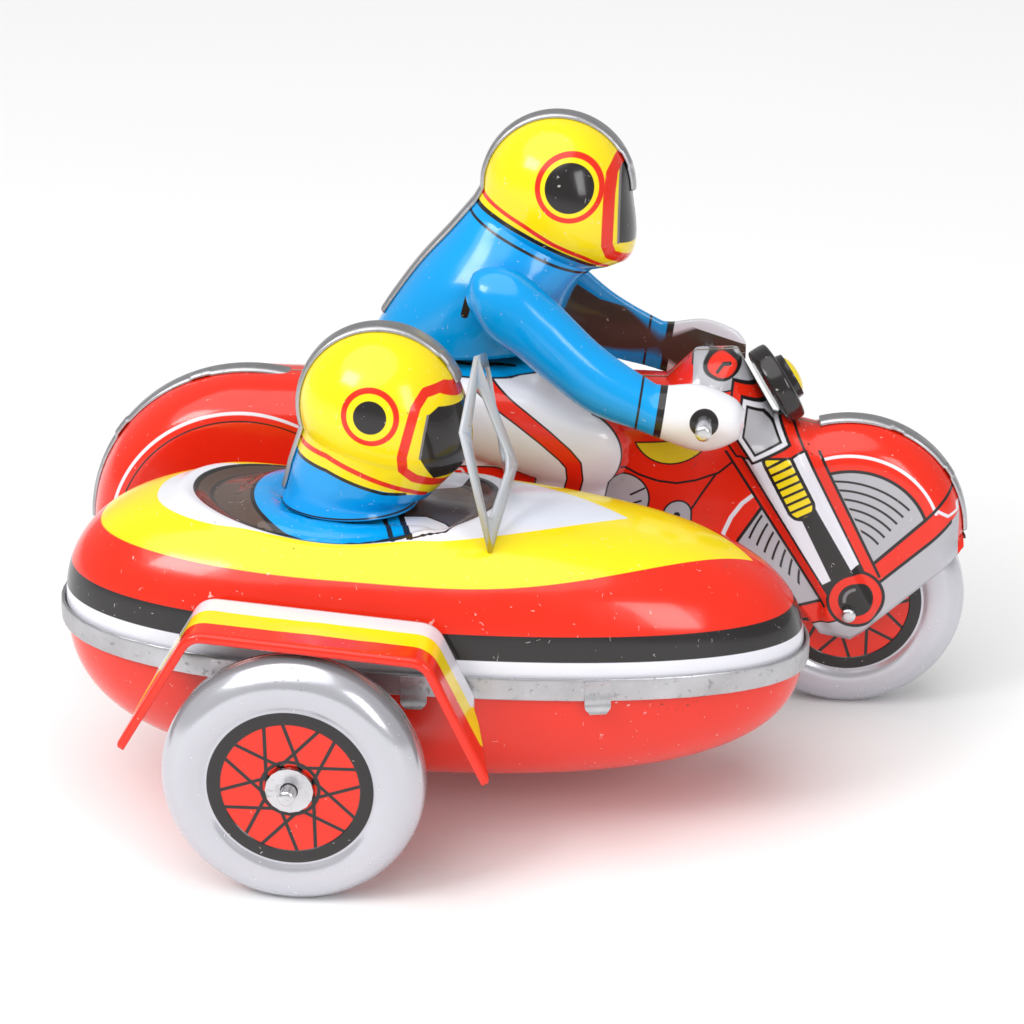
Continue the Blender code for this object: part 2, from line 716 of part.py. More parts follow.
SPRING_TURNS = 5
SPRING_RIGHT_Y = -5.2
SPRING_LEFT_Y = 4.3
SPRING_STEPS = 12
SPRING_THICKNESS = 0.4
SPRING_INNER_RADIUS = WINDING_ARBOR_RADIUS + 0.8
SPRING_GROWTH = 11.0


def build_mainspring():
    centre = GREAT_ARBOR

    def place(i, j):
        turn = i / SPRING_STEPS
        radius = SPRING_INNER_RADIUS + SPRING_GROWTH * turn / SPRING_TURNS
        x, z = on_circle(centre, radius, 360.0 * turn)
        return (x, SPRING_RIGHT_Y + (SPRING_LEFT_Y - SPRING_RIGHT_Y) * j, z)

    bm = grid(SPRING_TURNS * SPRING_STEPS, 1, place)
    obj = to_object("mainspring", bm, "steel", (centre[0], 0, centre[1]), smooth=True)
    solidify = add_solidify(obj, SPRING_THICKNESS)
    solidify.modifiers[0].offset = 0.0


PILLARS = ((6.0, 63.6), (51.5, 60.0), (52.0, 28.0))


def plate_outline():
    x, z = REAR_AXLE
    return [
        (x - 5.0, z), (x - 3.5, z - 4.0), (x + 2.0, z - 5.0), (6.0, 21.5), (54.0, 23.0), (56.0, 28.0),
        (56.0, 60.0), (52.0, 63.0), (8.0, 66.5), (3.0, 65.5), (-9.0, 56.0), (x - 3.5, z + 5.0),
    ]


def build_motor_frame():
    turning = [
        (*REAR_AXLE, AXLE_RADIUS + RUNNING_GAP * 2),
        (*SECOND_ARBOR, ARBOR_RADIUS + RUNNING_GAP * 2),
        (*GREAT_ARBOR, WINDING_ARBOR_RADIUS + RUNNING_GAP * 2),
    ]
    for name, y in (("motor_plate_right", RIGHT_PLATE_Y), ("motor_plate_left", LEFT_PLATE_Y)):
        plate(name, plate_outline(), y, PLATE_THICKNESS, "tin", turning)
    low = RIGHT_PLATE_Y + PLATE_THICKNESS / 2 + 0.02
    high = LEFT_PLATE_Y - PLATE_THICKNESS / 2 - 0.02
    for k, (x, z) in enumerate(PILLARS):
        rod(f"motor_pillar_{k + 1}", (x, low, z), (x, high, z), 1.5, "steel", sides=10)


# ---------------------------------------------------------------- sidecar


SIDECAR_CENTRE_X = 5.0
SEAM_TAIL_Z = 40.0
SEAM_NOSE_Z = 34.0
UPPER_HEIGHT = 26.5
LOWER_DEPTH = 27.0
HULL_SEGMENTS = 36
HULL_CROWDING = 0.18
NOSE_POWER = 2.25
TAIL_POWER = 2.35
DISH_CENTRE = (4.0, SIDECAR_MIDDLE_Y)
DISH_HALF_LENGTH = 32.0
DISH_HALF_WIDTH = 24.0
DISH_DEPTH = 2.6


def seam_height(x):
    part = (x - SIDECAR_TAIL_X) / (SIDECAR_NOSE_X - SIDECAR_TAIL_X)
    return SEAM_TAIL_Z + (SEAM_NOSE_Z - SEAM_TAIL_Z) * part


def hull_outline(angle, grow=0.0):
    """A rounded outline, fuller at the tail than at the nose, grown outwards by grow."""
    cos = math.cos(angle)
    sin = math.sin(angle)
    length = (SIDECAR_NOSE_X - SIDECAR_CENTRE_X) if cos > 0 else (SIDECAR_CENTRE_X - SIDECAR_TAIL_X)
    power = NOSE_POWER if cos > 0 else TAIL_POWER
    x = (length + grow) * math.copysign(abs(cos) ** (2 / power), cos)
    y = (SIDECAR_HALF_WIDTH + grow) * math.copysign(abs(sin) ** (2 / power), sin)
    return (SIDECAR_CENTRE_X + x, SIDECAR_MIDDLE_Y + y)


def hull_rise(part):
    """Share of the full height at a share of the way from the middle to the seam."""
    return max(0.0, 1 - part**3.4) ** 0.4


def hull_top(x, out):
    """Height of the upper shell at x and a distance out from its middle plane."""
    ahead = abs(x - SIDECAR_CENTRE_X) / (SIDECAR_NOSE_X - SIDECAR_CENTRE_X)
    aside = out / SIDECAR_HALF_WIDTH
    part = (ahead**NOSE_POWER + aside**NOSE_POWER) ** (1 / NOSE_POWER)
    return seam_height(x) + UPPER_HEIGHT * hull_rise(part)


def hull_angle(j, segments):
    """Angles close up at the nose and the tail, where the outline turns fastest."""
    angle = 2 * math.pi * j / segments
    return angle - HULL_CROWDING * math.sin(2 * angle)


def build_upper_shell():
    parts = (1.0, 0.985, 0.94, 0.86, 0.74, 0.58, 0.40, 0.2, 0.0)

    def place(i, j):
        x, y = hull_outline(hull_angle(j, HULL_SEGMENTS))
        part = parts[i]
        px = SIDECAR_CENTRE_X + (x - SIDECAR_CENTRE_X) * part
        py = SIDECAR_MIDDLE_Y + (y - SIDECAR_MIDDLE_Y) * part
        z = seam_height(px) + GAP / 2 + UPPER_HEIGHT * hull_rise(part)
        inside = math.hypot((px - DISH_CENTRE[0]) / DISH_HALF_LENGTH, (py - DISH_CENTRE[1]) / DISH_HALF_WIDTH)
        z -= DISH_DEPTH * (1 - blend(inside, 0.9, 1.02))
        return (px, py, z)

    bm = grid(len(parts) - 1, HULL_SEGMENTS, place)
    face_away(bm, (SIDECAR_CENTRE_X, SIDECAR_MIDDLE_Y, 0.0))
    return add_solidify(to_object("sidecar_upper_shell", bm, "yellow", smooth=True), SHEET)


def build_lower_shell():
    parts = (1.0, 0.98, 0.92, 0.8, 0.6, 0.3, 0.0)

    def place(i, j):
        x, y = hull_outline(hull_angle(j, HULL_SEGMENTS))
        part = parts[i]
        px = SIDECAR_CENTRE_X + (x - SIDECAR_CENTRE_X) * part
        py = SIDECAR_MIDDLE_Y + (y - SIDECAR_MIDDLE_Y) * part
        return (px, py, seam_height(px) - GAP / 2 - LOWER_DEPTH * hull_rise(part))

    bm = grid(len(parts) - 1, HULL_SEGMENTS, place)
    face_away(bm, (SIDECAR_CENTRE_X, SIDECAR_MIDDLE_Y, 80.0))
    shell = add_solidify(to_object("sidecar_lower_shell", bm, "red", smooth=True), SHEET)
    hole = AXLE_RADIUS + 3 * RUNNING_GAP
    near = SIDECAR_MIDDLE_Y - SIDECAR_HALF_WIDTH - 5.0
    far = SIDECAR_MIDDLE_Y + SIDECAR_HALF_WIDTH + 5.0
    cut_holes(
        shell,
        [
            ((SIDECAR_AXLE_X, near, AXLE_Z), (SIDECAR_AXLE_X, far, AXLE_Z), hole),
            ((TIE_ROD[0], SIDECAR_MIDDLE_Y, TIE_ROD[1]), (TIE_ROD[0], far, TIE_ROD[1]), hole),
        ],
    )
    return shell


BAND_HALF_HEIGHT = 2.3
BAND_THICKNESS = 0.8


def build_band():
    section = (
        (GAP, -BAND_HALF_HEIGHT),
        (GAP + BAND_THICKNESS, -BAND_HALF_HEIGHT),
        (GAP + BAND_THICKNESS, BAND_HALF_HEIGHT),
        (GAP, BAND_HALF_HEIGHT),
        (GAP, -BAND_HALF_HEIGHT),
    )

    def place(i, j):
        grow, rise = section[i]
        x, y = hull_outline(hull_angle(j, HULL_SEGMENTS), grow)
        return (x, y, seam_height(x) + rise)

    bm = grid(len(section) - 1, HULL_SEGMENTS, place)
    bmesh.ops.remove_doubles(bm, verts=bm.verts, dist=0.001)
    bmesh.ops.recalc_face_normals(bm, faces=bm.faces)
    to_object("sidecar_band", bm, "tin")


CLIP_ANGLES = (-107.0, -82.0, -59.0)
CLIP_SIZE = (5.0, 0.8, 6.4)
CLIP_SINK = 0.5
CLIP_DROP = 1.2


def build_clips():
    """Bent tabs that hold the fender and the band to the hull."""
    for k, degrees in enumerate(CLIP_ANGLES):
        angle = math.radians(degrees)
        out = 2 * GAP + BAND_THICKNESS
        x, y = hull_outline(angle, out)
        ahead = Vector(hull_outline(angle + 0.02, out)) - Vector(hull_outline(angle - 0.02, out))
        bm = bmesh.new()
        bmesh.ops.create_cube(bm, size=1.0)
        bmesh.ops.scale(bm, verts=bm.verts, vec=CLIP_SIZE)
        bmesh.ops.translate(bm, verts=bm.verts, vec=(0, -CLIP_SINK, -CLIP_DROP))
        turn = Matrix.Rotation(math.atan2(ahead.y, ahead.x), 3, "Z")
        bmesh.ops.rotate(bm, verts=bm.verts, matrix=turn)
        bmesh.ops.translate(bm, verts=bm.verts, vec=(x, y, seam_height(x)))
        to_object(f"sidecar_clip_{k + 1}", bm, "tin", (x, y, seam_height(x)))


FENDER_PATH = [
    (-33.0, 30.5),
    (-19.4, 53.0),
    (-17.4, 54.0),
    (24.4, 50.4),
    (26.4, 48.8),
    (36.8, 26.0),
]
FENDER_INNER_Y = -78.5
FENDER_OUTER_Y = -94.5
FENDER_FLANGE = 2.2
FENDER_THICKNESS = 0.6


def build_sidecar_fender():
    points = [Vector(p) for p in FENDER_PATH]

    def inward(i):
        before = points[max(i - 1, 0)]
        after = points[min(i + 1, len(points) - 1)]
        along = (after - before).normalized()
        return Vector((along.y, -along.x))

    widths = (FENDER_INNER_Y, FENDER_OUTER_Y, FENDER_OUTER_Y - 0.2)

    def place(i, j):
        point = points[i] + inward(i) * (FENDER_FLANGE if j == 2 else 0.0)
        return (point.x, widths[j], point.y)

    bm = grid(len(points) - 1, 2, place)
    face_away(bm, (0.0, FENDER_INNER_Y - 8.0, 0.0))
    add_solidify(to_object("sidecar_fender", bm, "red"), FENDER_THICKNESS)


WINDSCREEN_FOOT = (34.6, 19.0)
WINDSCREEN_CORNER = (29.6, 22.5, 85.5)
WINDSCREEN_APEX = (30.2, 0.0, 92.6)
WINDSCREEN_BASE = (38.0, 0.0, 70.5)
WINDSCREEN_BAR = 0.26
WINDSCREEN_THICKNESS = 0.8


def build_windscreen():
    """Two wings that share a ridge, each a frame round an open window."""
    bm = bmesh.new()
    apex = Vector(WINDSCREEN_APEX)
    base = Vector(WINDSCREEN_BASE)
    shared = [bm.verts.new(v + Vector((0, SIDECAR_MIDDLE_Y, 0))) for v in (apex, base)]
    foot_z = hull_top(*WINDSCREEN_FOOT) + 2 * GAP
    for side in (-1, 1):
        flip = Vector((1, side, 1))
        foot = Vector((*WINDSCREEN_FOOT, foot_z)) * flip
        corner = Vector(WINDSCREEN_CORNER) * flip
        outer = [foot, corner, apex, base]
        middle = sum(outer, Vector()) / 4
        shift = Vector((0, SIDECAR_MIDDLE_Y, 0))
        ring = [bm.verts.new(foot + shift), bm.verts.new(corner + shift), shared[0], shared[1]]
        hole = [bm.verts.new(v.lerp(middle, WINDSCREEN_BAR) + shift) for v in outer]
        for k in range(4):
            nxt = (k + 1) % 4
            bm.faces.new((ring[k], ring[nxt], hole[nxt], hole[k]))
    bmesh.ops.recalc_face_normals(bm, faces=bm.faces)
    obj = add_solidify(to_object("windscreen", bm, "white"), WINDSCREEN_THICKNESS)
    obj.modifiers[0].offset = 0.0


def build_tie():
    """The front cross rod that holds the sidecar to the motorcycle."""
    x, z = TIE_ROD
    rod("front_tie_rod", (x, SIDECAR_MIDDLE_Y + 12.0, z), (x, -9.5, z), AXLE_RADIUS, "tin")


# ---------------------------------------------------------------- whole toy


def settle_origin():
    """Moves everything so that the origin is the middle of the bottom of the bounding box."""
    bpy.context.view_layer.update()
    graph = bpy.context.evaluated_depsgraph_get()
    corners = []
    for obj in PARTS.objects:
        evaluated = obj.evaluated_get(graph)
        mesh = evaluated.to_mesh()
        corners += [evaluated.matrix_world @ vertex.co for vertex in mesh.vertices]
        evaluated.to_mesh_clear()
    low = [min(corner[k] for corner in corners) for k in range(3)]
    high = [max(corner[k] for corner in corners) for k in range(3)]
    shift = Vector(((low[0] + high[0]) / 2, (low[1] + high[1]) / 2, low[2]))
    for obj in list(PARTS.objects) + list(CUTTERS.objects):
        obj.location -= shift


clear_scene()
PARTS = new_collection("tin_motorcycle_with_sidecar")
CUTTERS = new_collection("cutters")


def main():
    build_body_half("body_right_half", -1)
    build_body_half("body_left_half", 1)
    build_fender_strips()
    build_figures()
    build_arms()
    build_handlebar()
    build_headlight()
    build_wheels()
    build_gear_train()
    build_winding()
    build_motor_frame()
    build_upper_shell()
    build_lower_shell()
    build_band()
    build_clips()
    build_sidecar_fender()
    build_windscreen()
    build_tie()
    settle_origin()


main()
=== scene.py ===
"""The looks of a tin wind-up motorcycle with a sidecar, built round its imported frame.

Sizes are in millimetres in the toy's own layout: +X forward, +Y the rider's left, +Z up, with the
motorcycle's middle plane at y = 0 and the sidecar's axle at x = 0.
"""

import json
import math

import bmesh
import bpy
import numpy as np
from mathutils import Matrix, Vector

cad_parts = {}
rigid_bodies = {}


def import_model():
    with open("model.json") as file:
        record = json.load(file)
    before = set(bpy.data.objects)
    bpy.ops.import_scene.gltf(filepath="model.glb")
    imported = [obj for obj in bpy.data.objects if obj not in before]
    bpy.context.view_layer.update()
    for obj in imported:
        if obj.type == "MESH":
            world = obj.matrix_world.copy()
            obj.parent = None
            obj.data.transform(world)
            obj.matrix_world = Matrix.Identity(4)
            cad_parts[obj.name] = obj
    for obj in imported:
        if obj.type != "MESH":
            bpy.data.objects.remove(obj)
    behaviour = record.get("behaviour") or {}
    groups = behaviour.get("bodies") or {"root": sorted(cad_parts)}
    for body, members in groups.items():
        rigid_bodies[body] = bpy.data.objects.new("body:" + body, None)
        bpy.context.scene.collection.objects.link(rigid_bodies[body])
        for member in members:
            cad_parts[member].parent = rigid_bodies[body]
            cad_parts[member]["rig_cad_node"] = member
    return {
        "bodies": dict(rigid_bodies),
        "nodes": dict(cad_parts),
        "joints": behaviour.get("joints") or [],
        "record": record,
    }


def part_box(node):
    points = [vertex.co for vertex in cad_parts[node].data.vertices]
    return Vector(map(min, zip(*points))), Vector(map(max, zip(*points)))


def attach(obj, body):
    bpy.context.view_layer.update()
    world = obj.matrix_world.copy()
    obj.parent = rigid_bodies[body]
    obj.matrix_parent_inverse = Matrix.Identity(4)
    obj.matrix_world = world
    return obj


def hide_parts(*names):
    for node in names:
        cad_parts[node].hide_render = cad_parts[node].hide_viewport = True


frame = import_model()

bl_info = {
    "name": "Tin Motorcycle With Sidecar",
    "version": (1, 0, 0),
    "blender": (4, 5, 0),
    "location": "View3D > Sidebar > Tin Toy",
    "description": "Printed tin shells, wheels and trim of a wind-up motorcycle with a sidecar",
    "category": "Object",
}

MM = 0.001


def clear_startup_objects():
    for obj in list(bpy.data.objects):
        if "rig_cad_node" not in obj and not obj.name.startswith("body:"):
            bpy.data.objects.remove(obj)


clear_startup_objects()
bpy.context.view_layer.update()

# ---------------------------------------------------------------- driving sizes

WHEEL_RADIUS = 24.8
WHEEL_HALF_WIDTH = 5.5
AXLE_Z = WHEEL_RADIUS * math.cos(math.pi / 24)
FRONT_AXLE = (104.7, AXLE_Z)
REAR_AXLE = (-22.0, AXLE_Z)
SIDECAR_AXLE = (0.0, AXLE_Z)
SHEET = 0.5
GAP = 0.3
BODY_HALF_WIDTH = 13.0
FRONT_HALF_WIDTH = 9.0
SEAT_TOP = 78.7
SIDECAR_MIDDLE_Y = -47.5
SIDECAR_HALF_WIDTH = 29.5
SIDECAR_TAIL_X = -52.0
SIDECAR_NOSE_X = 94.5
SIDECAR_CENTRE_X = 5.0
SIDECAR_WHEEL_Y = -92.7


def middle_of(node):
    low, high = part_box(node)
    return np.array((low + high) / 2)


# The frame's origin is the middle of the toy's box, so this is where the layout's own origin lies.
LAYOUT_ORIGIN = middle_of("front_axle") / MM - np.array((FRONT_AXLE[0], 0.0, AXLE_Z))


def box_in_layout(node):
    return [np.array(corner) / MM - LAYOUT_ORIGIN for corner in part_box(node)]

# ---------------------------------------------------------------- mesh helpers


def on_circle(centre, radius, degrees):
    angle = math.radians(degrees)
    return (centre[0] + radius * math.cos(angle), centre[1] + radius * math.sin(angle))


def arc(centre, radius, start, end, count):
    return [on_circle(centre, radius, start + (end - start) * k / count) for k in range(count + 1)]


def ease(value, low, high):
    """0 below low, 1 above high, smooth between."""
    t = np.clip((value - low) / (high - low), 0.0, 1.0)
    return t * t * (3 - 2 * t)


def sheet(columns, rows, shape):
    """A grid of quads. shape(u, v) gives x, y and z for two arrays that run from 0 to 1."""
    bm = bmesh.new()
    bmesh.ops.create_grid(bm, x_segments=columns, y_segments=rows, size=0.5)
    flat = np.array([vert.co[:] for vert in bm.verts])
    u = np.round((flat[:, 0] + 0.5) * columns) / columns
    v = np.round((flat[:, 1] + 0.5) * rows) / rows
    place_verts(bm, np.stack(shape(u, v), axis=1))
    return bm


def place_verts(bm, points):
    for vert, point in zip(bm.verts, points.tolist()):
        vert.co = point


def face_away(bm, inner_point):
    """Welds what meets, then turns the faces of an open sheet away from a point inside it."""
    bmesh.ops.remove_doubles(bm, verts=bm.verts, dist=0.002)
    bmesh.ops.dissolve_degenerate(bm, edges=bm.edges, dist=0.001)
    bmesh.ops.recalc_face_normals(bm, faces=bm.faces)
    inner = Vector(inner_point)
    outward = sum(
        face.calc_area() * face.normal.dot(face.calc_center_median() - inner) for face in bm.faces
    )
    if outward < 0:
        bmesh.ops.reverse_faces(bm, faces=bm.faces)
    return bm


def close_solid(bm, weld=0.002):
    bmesh.ops.remove_doubles(bm, verts=bm.verts, dist=weld)
    bmesh.ops.recalc_face_normals(bm, faces=bm.faces)
    return bm


def close_ends(bm):
    """Welds a tube's long seam, fills its two ends and turns it outwards."""
    close_solid(bm)
    rims = [edge for edge in bm.edges if edge.is_boundary]
    bmesh.ops.holes_fill(bm, edges=rims, sides=0)
    return close_solid(bm)


def spin_around(profile, centre, axis, steps, closed):
    """Turns a profile of (radius, distance along the axis) points all the way round."""
    along = Vector(axis).normalized()
    across = along.orthogonal().normalized()
    middle = Vector(centre)
    bm = bmesh.new()
    verts = [bm.verts.new(middle + across * radius + along * height) for radius, height in profile]
    following = verts[1:] + verts[:1] if closed else verts[1:]
    edges = [bm.edges.new(pair) for pair in zip(verts, following)]
    bmesh.ops.spin(
        bm, geom=verts + edges, cent=middle, axis=along, angle=2 * math.pi, steps=steps, use_merge=True
    )
    return bm


def spin_profile(profile, centre, axis, steps):
    return close_solid(spin_around(profile, centre, axis, steps, closed=True), 0.001)


def through_points(points, count):
    """A smooth curve through the given points, as count points evenly spread over its spans."""
    points = np.array(points, float)
    last = len(points) - 1
    at = np.linspace(0.0, last, count)
    span = np.minimum(at.astype(int), last - 1)
    t = (at - span)[:, None]
    p1 = points[span]
    p2 = points[span + 1]
    p0 = np.where(span[:, None] > 0, points[np.maximum(span - 1, 0)], 2 * p1 - p2)
    p3 = np.where(span[:, None] + 2 <= last, points[np.minimum(span + 2, last)], 2 * p2 - p1)
    bend = 2 * p0 - 5 * p1 + 4 * p2 - p3
    twist = 3 * p1 - p0 - 3 * p2 + p3
    return 0.5 * (2 * p1 + (p2 - p0) * t + bend * t**2 + twist * t**3)


def along_path(points, part):
    """Points at shares of the length of a polyline, and the unit normals on its left."""
    points = np.array(points, float)
    steps = np.linalg.norm(np.diff(points, axis=0), axis=1)
    length = np.concatenate([[0.0], np.cumsum(steps)])
    at = np.clip(part, 0.0, 1.0) * length[-1]
    place = [np.interp(at, length, points[:, k]) for k in range(2)]
    ahead = [np.interp(at + 0.3, length, points[:, k]) for k in range(2)]
    behind = [np.interp(at - 0.3, length, points[:, k]) for k in range(2)]
    dx = ahead[0] - behind[0]
    dz = ahead[1] - behind[1]
    size = np.hypot(dx, dz)
    return place[0], place[1], -dz / size, dx / size


def finish_piece(name, bm, body, materials, replaces=(), wall=None, smooth=True, sharp=40.0):
    """Makes the piece from a bmesh in millimetres, gives it its wall, and fits it to the frame."""
    bmesh.ops.translate(bm, verts=bm.verts, vec=LAYOUT_ORIGIN)
    bmesh.ops.scale(bm, verts=bm.verts, vec=(MM, MM, MM))
    mesh = bpy.data.meshes.new(name)
    bm.to_mesh(mesh)
    bm.free()
    if smooth:
        mesh.shade_smooth()
        mesh.set_sharp_from_angle(angle=math.radians(sharp))
    for material in materials:
        mesh.materials.append(material)
    obj = bpy.data.objects.new(name, mesh)
    bpy.context.scene.collection.objects.link(obj)
    if wall is not None:
        solidify = obj.modifiers.new("wall", "SOLIDIFY")
        solidify.thickness = wall * MM
        solidify.offset = -1.0
        solidify.material_offset = len(materials) // 2
        solidify.material_offset_rim = len(materials) // 2
    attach(obj, body)
    if replaces:
        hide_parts(*replaces)
    return obj


# ---------------------------------------------------------------- motorcycle body

REAR_FENDER_CENTRE = (REAR_AXLE[0] - 0.5, AXLE_Z + 11.8)
REAR_FENDER_RADIUS = WHEEL_RADIUS + 10.5
FRONT_FENDER_CENTRE = (FRONT_AXLE[0] - 0.7, AXLE_Z + 15.6)
FRONT_FENDER_RADIUS = WHEEL_RADIUS - 0.5
SHOULDER_RADIUS = 8.0
THIGH = ((24.0, 69.0), (48.0, 60.5))
SHIN = ((47.5, 60.0), (41.0, 27.0))
FORK = ((79.0, 73.0), (105.0, 26.0))
FORK_RAISE = 1.6
BODY_ROWS = 60
LONGEST_STATION = 0.9
PRINT_BORDER = 57.5


def body_top_outline():
    """The top edge of the motorcycle's halves, from the tail to the tip of the front fender."""
    rear = arc(REAR_FENDER_CENTRE, REAR_FENDER_RADIUS, 180, 90, 48)
    front = arc(FRONT_FENDER_CENTRE, FRONT_FENDER_RADIUS, 108, 0, 48)
    seat_to_lamp = [
        (0.0, rear[-1][1]),
        (1.5, SEAT_TOP),
        (40.5, SEAT_TOP),
        (44.5, SEAT_TOP - 4.0),
        (50.0, SEAT_TOP - 6.0),
        (65.0, SEAT_TOP - 6.0),
        (71.0, SEAT_TOP),
        (79.6, SEAT_TOP + 0.6),
        (87.6, 65.4),
    ]
    return rear + seat_to_lamp + front


BODY_TOP = body_top_outline()
BODY_BOTTOM = [
    (BODY_TOP[0][0], BODY_TOP[0][1] - 4.0),
    (-48.0, 27.0),
    (-40.0, 19.0),
    (85.0, 19.0),
    (93.0, 27.0),
    (99.0, 19.0),
    (105.5, 17.8),
    (111.0, 22.5),
    (BODY_TOP[-1][0], BODY_TOP[-1][1] - 1.5),
]


def to_line(x, z, start, end):
    """Distance from each point to a line between two points."""
    dx = end[0] - start[0]
    dz = end[1] - start[1]
    part = np.clip(((x - start[0]) * dx + (z - start[1]) * dz) / max(dx * dx + dz * dz, 1e-9), 0, 1)
    return np.hypot(x - start[0] - part * dx, z - start[1] - part * dz)


def bulge(distance, radius, height):
    return height * np.sqrt(np.clip(1 - (distance / radius) ** 2, 0, None))


def body_half_width(x, z):
    """How far the side of the motorcycle stands from its middle plane."""
    width = BODY_HALF_WIDTH + (FRONT_HALF_WIDTH - BODY_HALF_WIDTH) * ease(x, 58.0, 80.0)
    edge = np.full(x.shape, 1e3)
    for start, end in zip(BODY_TOP, BODY_TOP[1:]):
        edge = np.minimum(edge, to_line(x, z, start, end))
    edge = np.clip(edge / SHOULDER_RADIUS, 0, 1)
    width = width * np.sqrt(np.clip(1 - (1 - edge) ** 2, 0, None))
    leg = np.maximum(bulge(to_line(x, z, *THIGH), 9.5, 4.5), bulge(to_line(x, z, *SHIN), 7.5, 2.6))
    fork = FORK_RAISE * (1 - ease(to_line(x, z, *FORK), 3.5, 5.5))
    boss = FORK_RAISE * (1 - ease(np.hypot(x - FRONT_AXLE[0], z - FRONT_AXLE[1]), 4.5, 6.5))
    return np.maximum(width, GAP) + leg + np.maximum(fork, boss) * edge


def body_stations():
    stations = []
    for (x0, _), (x1, _) in zip(BODY_TOP, BODY_TOP[1:]):
        count = max(1, math.ceil((x1 - x0) / LONGEST_STATION))
        stations += [x0 + (x1 - x0) * k / count for k in range(count)]
    return np.array(stations + [BODY_TOP[-1][0]])


def heights_on(outline, x):
    outline = np.array(outline)
    return np.interp(x, outline[:, 0], outline[:, 1])


def body_half_mesh(side):
    stations = body_stations()
    columns = len(stations) - 1

    def shape(u, v):
        x = stations[np.round(u * columns).astype(int)]
        bottom = heights_on(BODY_BOTTOM, x)
        top = heights_on(BODY_TOP, x)
        z = bottom + (top - bottom) * np.sin(v * math.pi / 2)
        return x, side * body_half_width(x, z), z

    bm = face_away(sheet(columns, BODY_ROWS, shape), (30.0, -side * 40.0, 40.0))
    for face in bm.faces:
        face.material_index = int(face.calc_center_median().x > PRINT_BORDER)
    return bm


# ---------------------------------------------------------------- seam strips

STRIP_THICKNESS = 0.6
STRIP_HALF_WIDTH = 2.6
FIGURE_STRIP_HALF_WIDTH = 2.8
STRIP_DROOP = 0.8


def strip_mesh(path, half_width, middle_y=0.0, columns=160, notches=()):
    """A crimped band over a seam. Its edges roll down, and notches show as short open steps."""

    def shape(u, v):
        x, z, nx, nz = along_path(path, u)
        across = 2 * v - 1
        lift = GAP + STRIP_THICKNESS - STRIP_DROOP * np.abs(across) ** 5
        for start, end in notches:
            inside = ease(u, start - 0.004, start) * (1 - ease(u, end, end + 0.004))
            lift = lift + 0.28 * inside * (across < 0)
        return x + nx * lift, middle_y + half_width * across, z + nz * lift

    bm = sheet(columns, 10, shape)
    x, z, nx, nz = along_path(path, np.array([0.5]))
    inner = (float(x[0] - nx[0] * 200), middle_y, float(z[0] - nz[0] * 200))
    return face_away(bm, inner)


# ---------------------------------------------------------------- figures and arms

RIDER_HEAD = (42.0, 112.8)
RIDER_HEAD_RADIUS = 15.1
RIDER_TILT = 31.0
PASSENGER_HEAD = (11.6, 82.0)
PASSENGER_HEAD_RADIUS = 15.8
PASSENGER_TILT = 14.0
HEAD_HALF_WIDTH = 14.0
CHIN_ENDS_AT = 35.0

# Each row is the back point, the front point, the edge's distance out and the bulge.
RIDER_BODY_ROWS = [
    (2.4, 79.4, 40.5, 79.4, GAP, 12.6),
    (7.0, 87.2, 43.4, 86.4, GAP, 14.6),
    (13.6, 96.4, 45.6, 91.6, GAP, 15.2),
    (20.2, 103.8, 47.6, 94.6, GAP, 13.0),
    (25.4, 110.0, 49.6, 96.2, GAP, 10.6),
]
RIDER_HELMET_EDGE = (27.0, 112.8, 53.2, 97.0, GAP, 12.4)
PASSENGER_BODY_ROWS = [
    (-8.4, 62.7, 18.4, 62.3, GAP, 12.0),
    (-7.2, 66.0, 18.0, 63.4, GAP, 11.4),
    (-6.0, 70.6, 21.0, 64.4, GAP, 11.8),
]
ARM_ROWS = [
    (24.6, 94.6, 26.0, 90.6, 15.6, 2.0),
    (27.0, 99.6, 29.8, 85.6, 15.8, 5.6),
    (34.6, 100.0, 35.6, 81.6, 16.2, 6.6),
    (42.4, 94.2, 42.0, 76.6, 16.8, 6.8),
    (52.3, 85.0, 50.0, 71.2, 18.0, 6.4),
    (61.6, 79.0, 60.2, 68.0, 19.4, 5.6),
    (65.0, 77.8, 64.6, 66.6, 19.8, 6.0),
    (72.4, 78.4, 73.0, 64.4, 20.4, 6.4),
    (79.0, 76.0, 79.6, 66.8, 20.8, 5.0),
    (81.4, 73.4, 81.4, 69.8, 21.0, 2.2),
]


def helmet_rows(centre, radius, tilt, start, count, chin=0.0):
    """Rows of a ball from start degrees round to its pole, with a fuller front low down."""
    lean = math.radians(tilt)
    rows = []
    for k in range(count + 1):
        angle = math.radians(start + (90.0 - start) * k / count)
        rise = radius * math.sin(angle)
        reach = max(math.cos(angle), 0.0)
        x = centre[0] + math.sin(lean) * rise
        z = centre[1] + math.cos(lean) * rise
        dx = math.cos(lean) * radius * reach
        dz = -math.sin(lean) * radius * reach
        low_down = 1 - ease(angle, math.radians(start - 5.0), math.radians(CHIN_ENDS_AT))
        fuller = 1 + chin * float(low_down) / radius
        rows.append((x - dx, z - dz, x + dx * fuller, z + dz * fuller, GAP, HEAD_HALF_WIDTH * reach))
    return rows


def rider_rows(fine=1):
    body = through_points(RIDER_BODY_ROWS, 5 * fine).tolist() + [RIDER_HELMET_EDGE]
    return body + helmet_rows(RIDER_HEAD, RIDER_HEAD_RADIUS, RIDER_TILT, -20.0, 7 * fine, 6.0)


def passenger_rows(fine=1):
    body = through_points(PASSENGER_BODY_ROWS, 3 * fine).tolist()
    return body + helmet_rows(PASSENGER_HEAD, PASSENGER_HEAD_RADIUS, PASSENGER_TILT, -30.0, 7 * fine, 4.4)


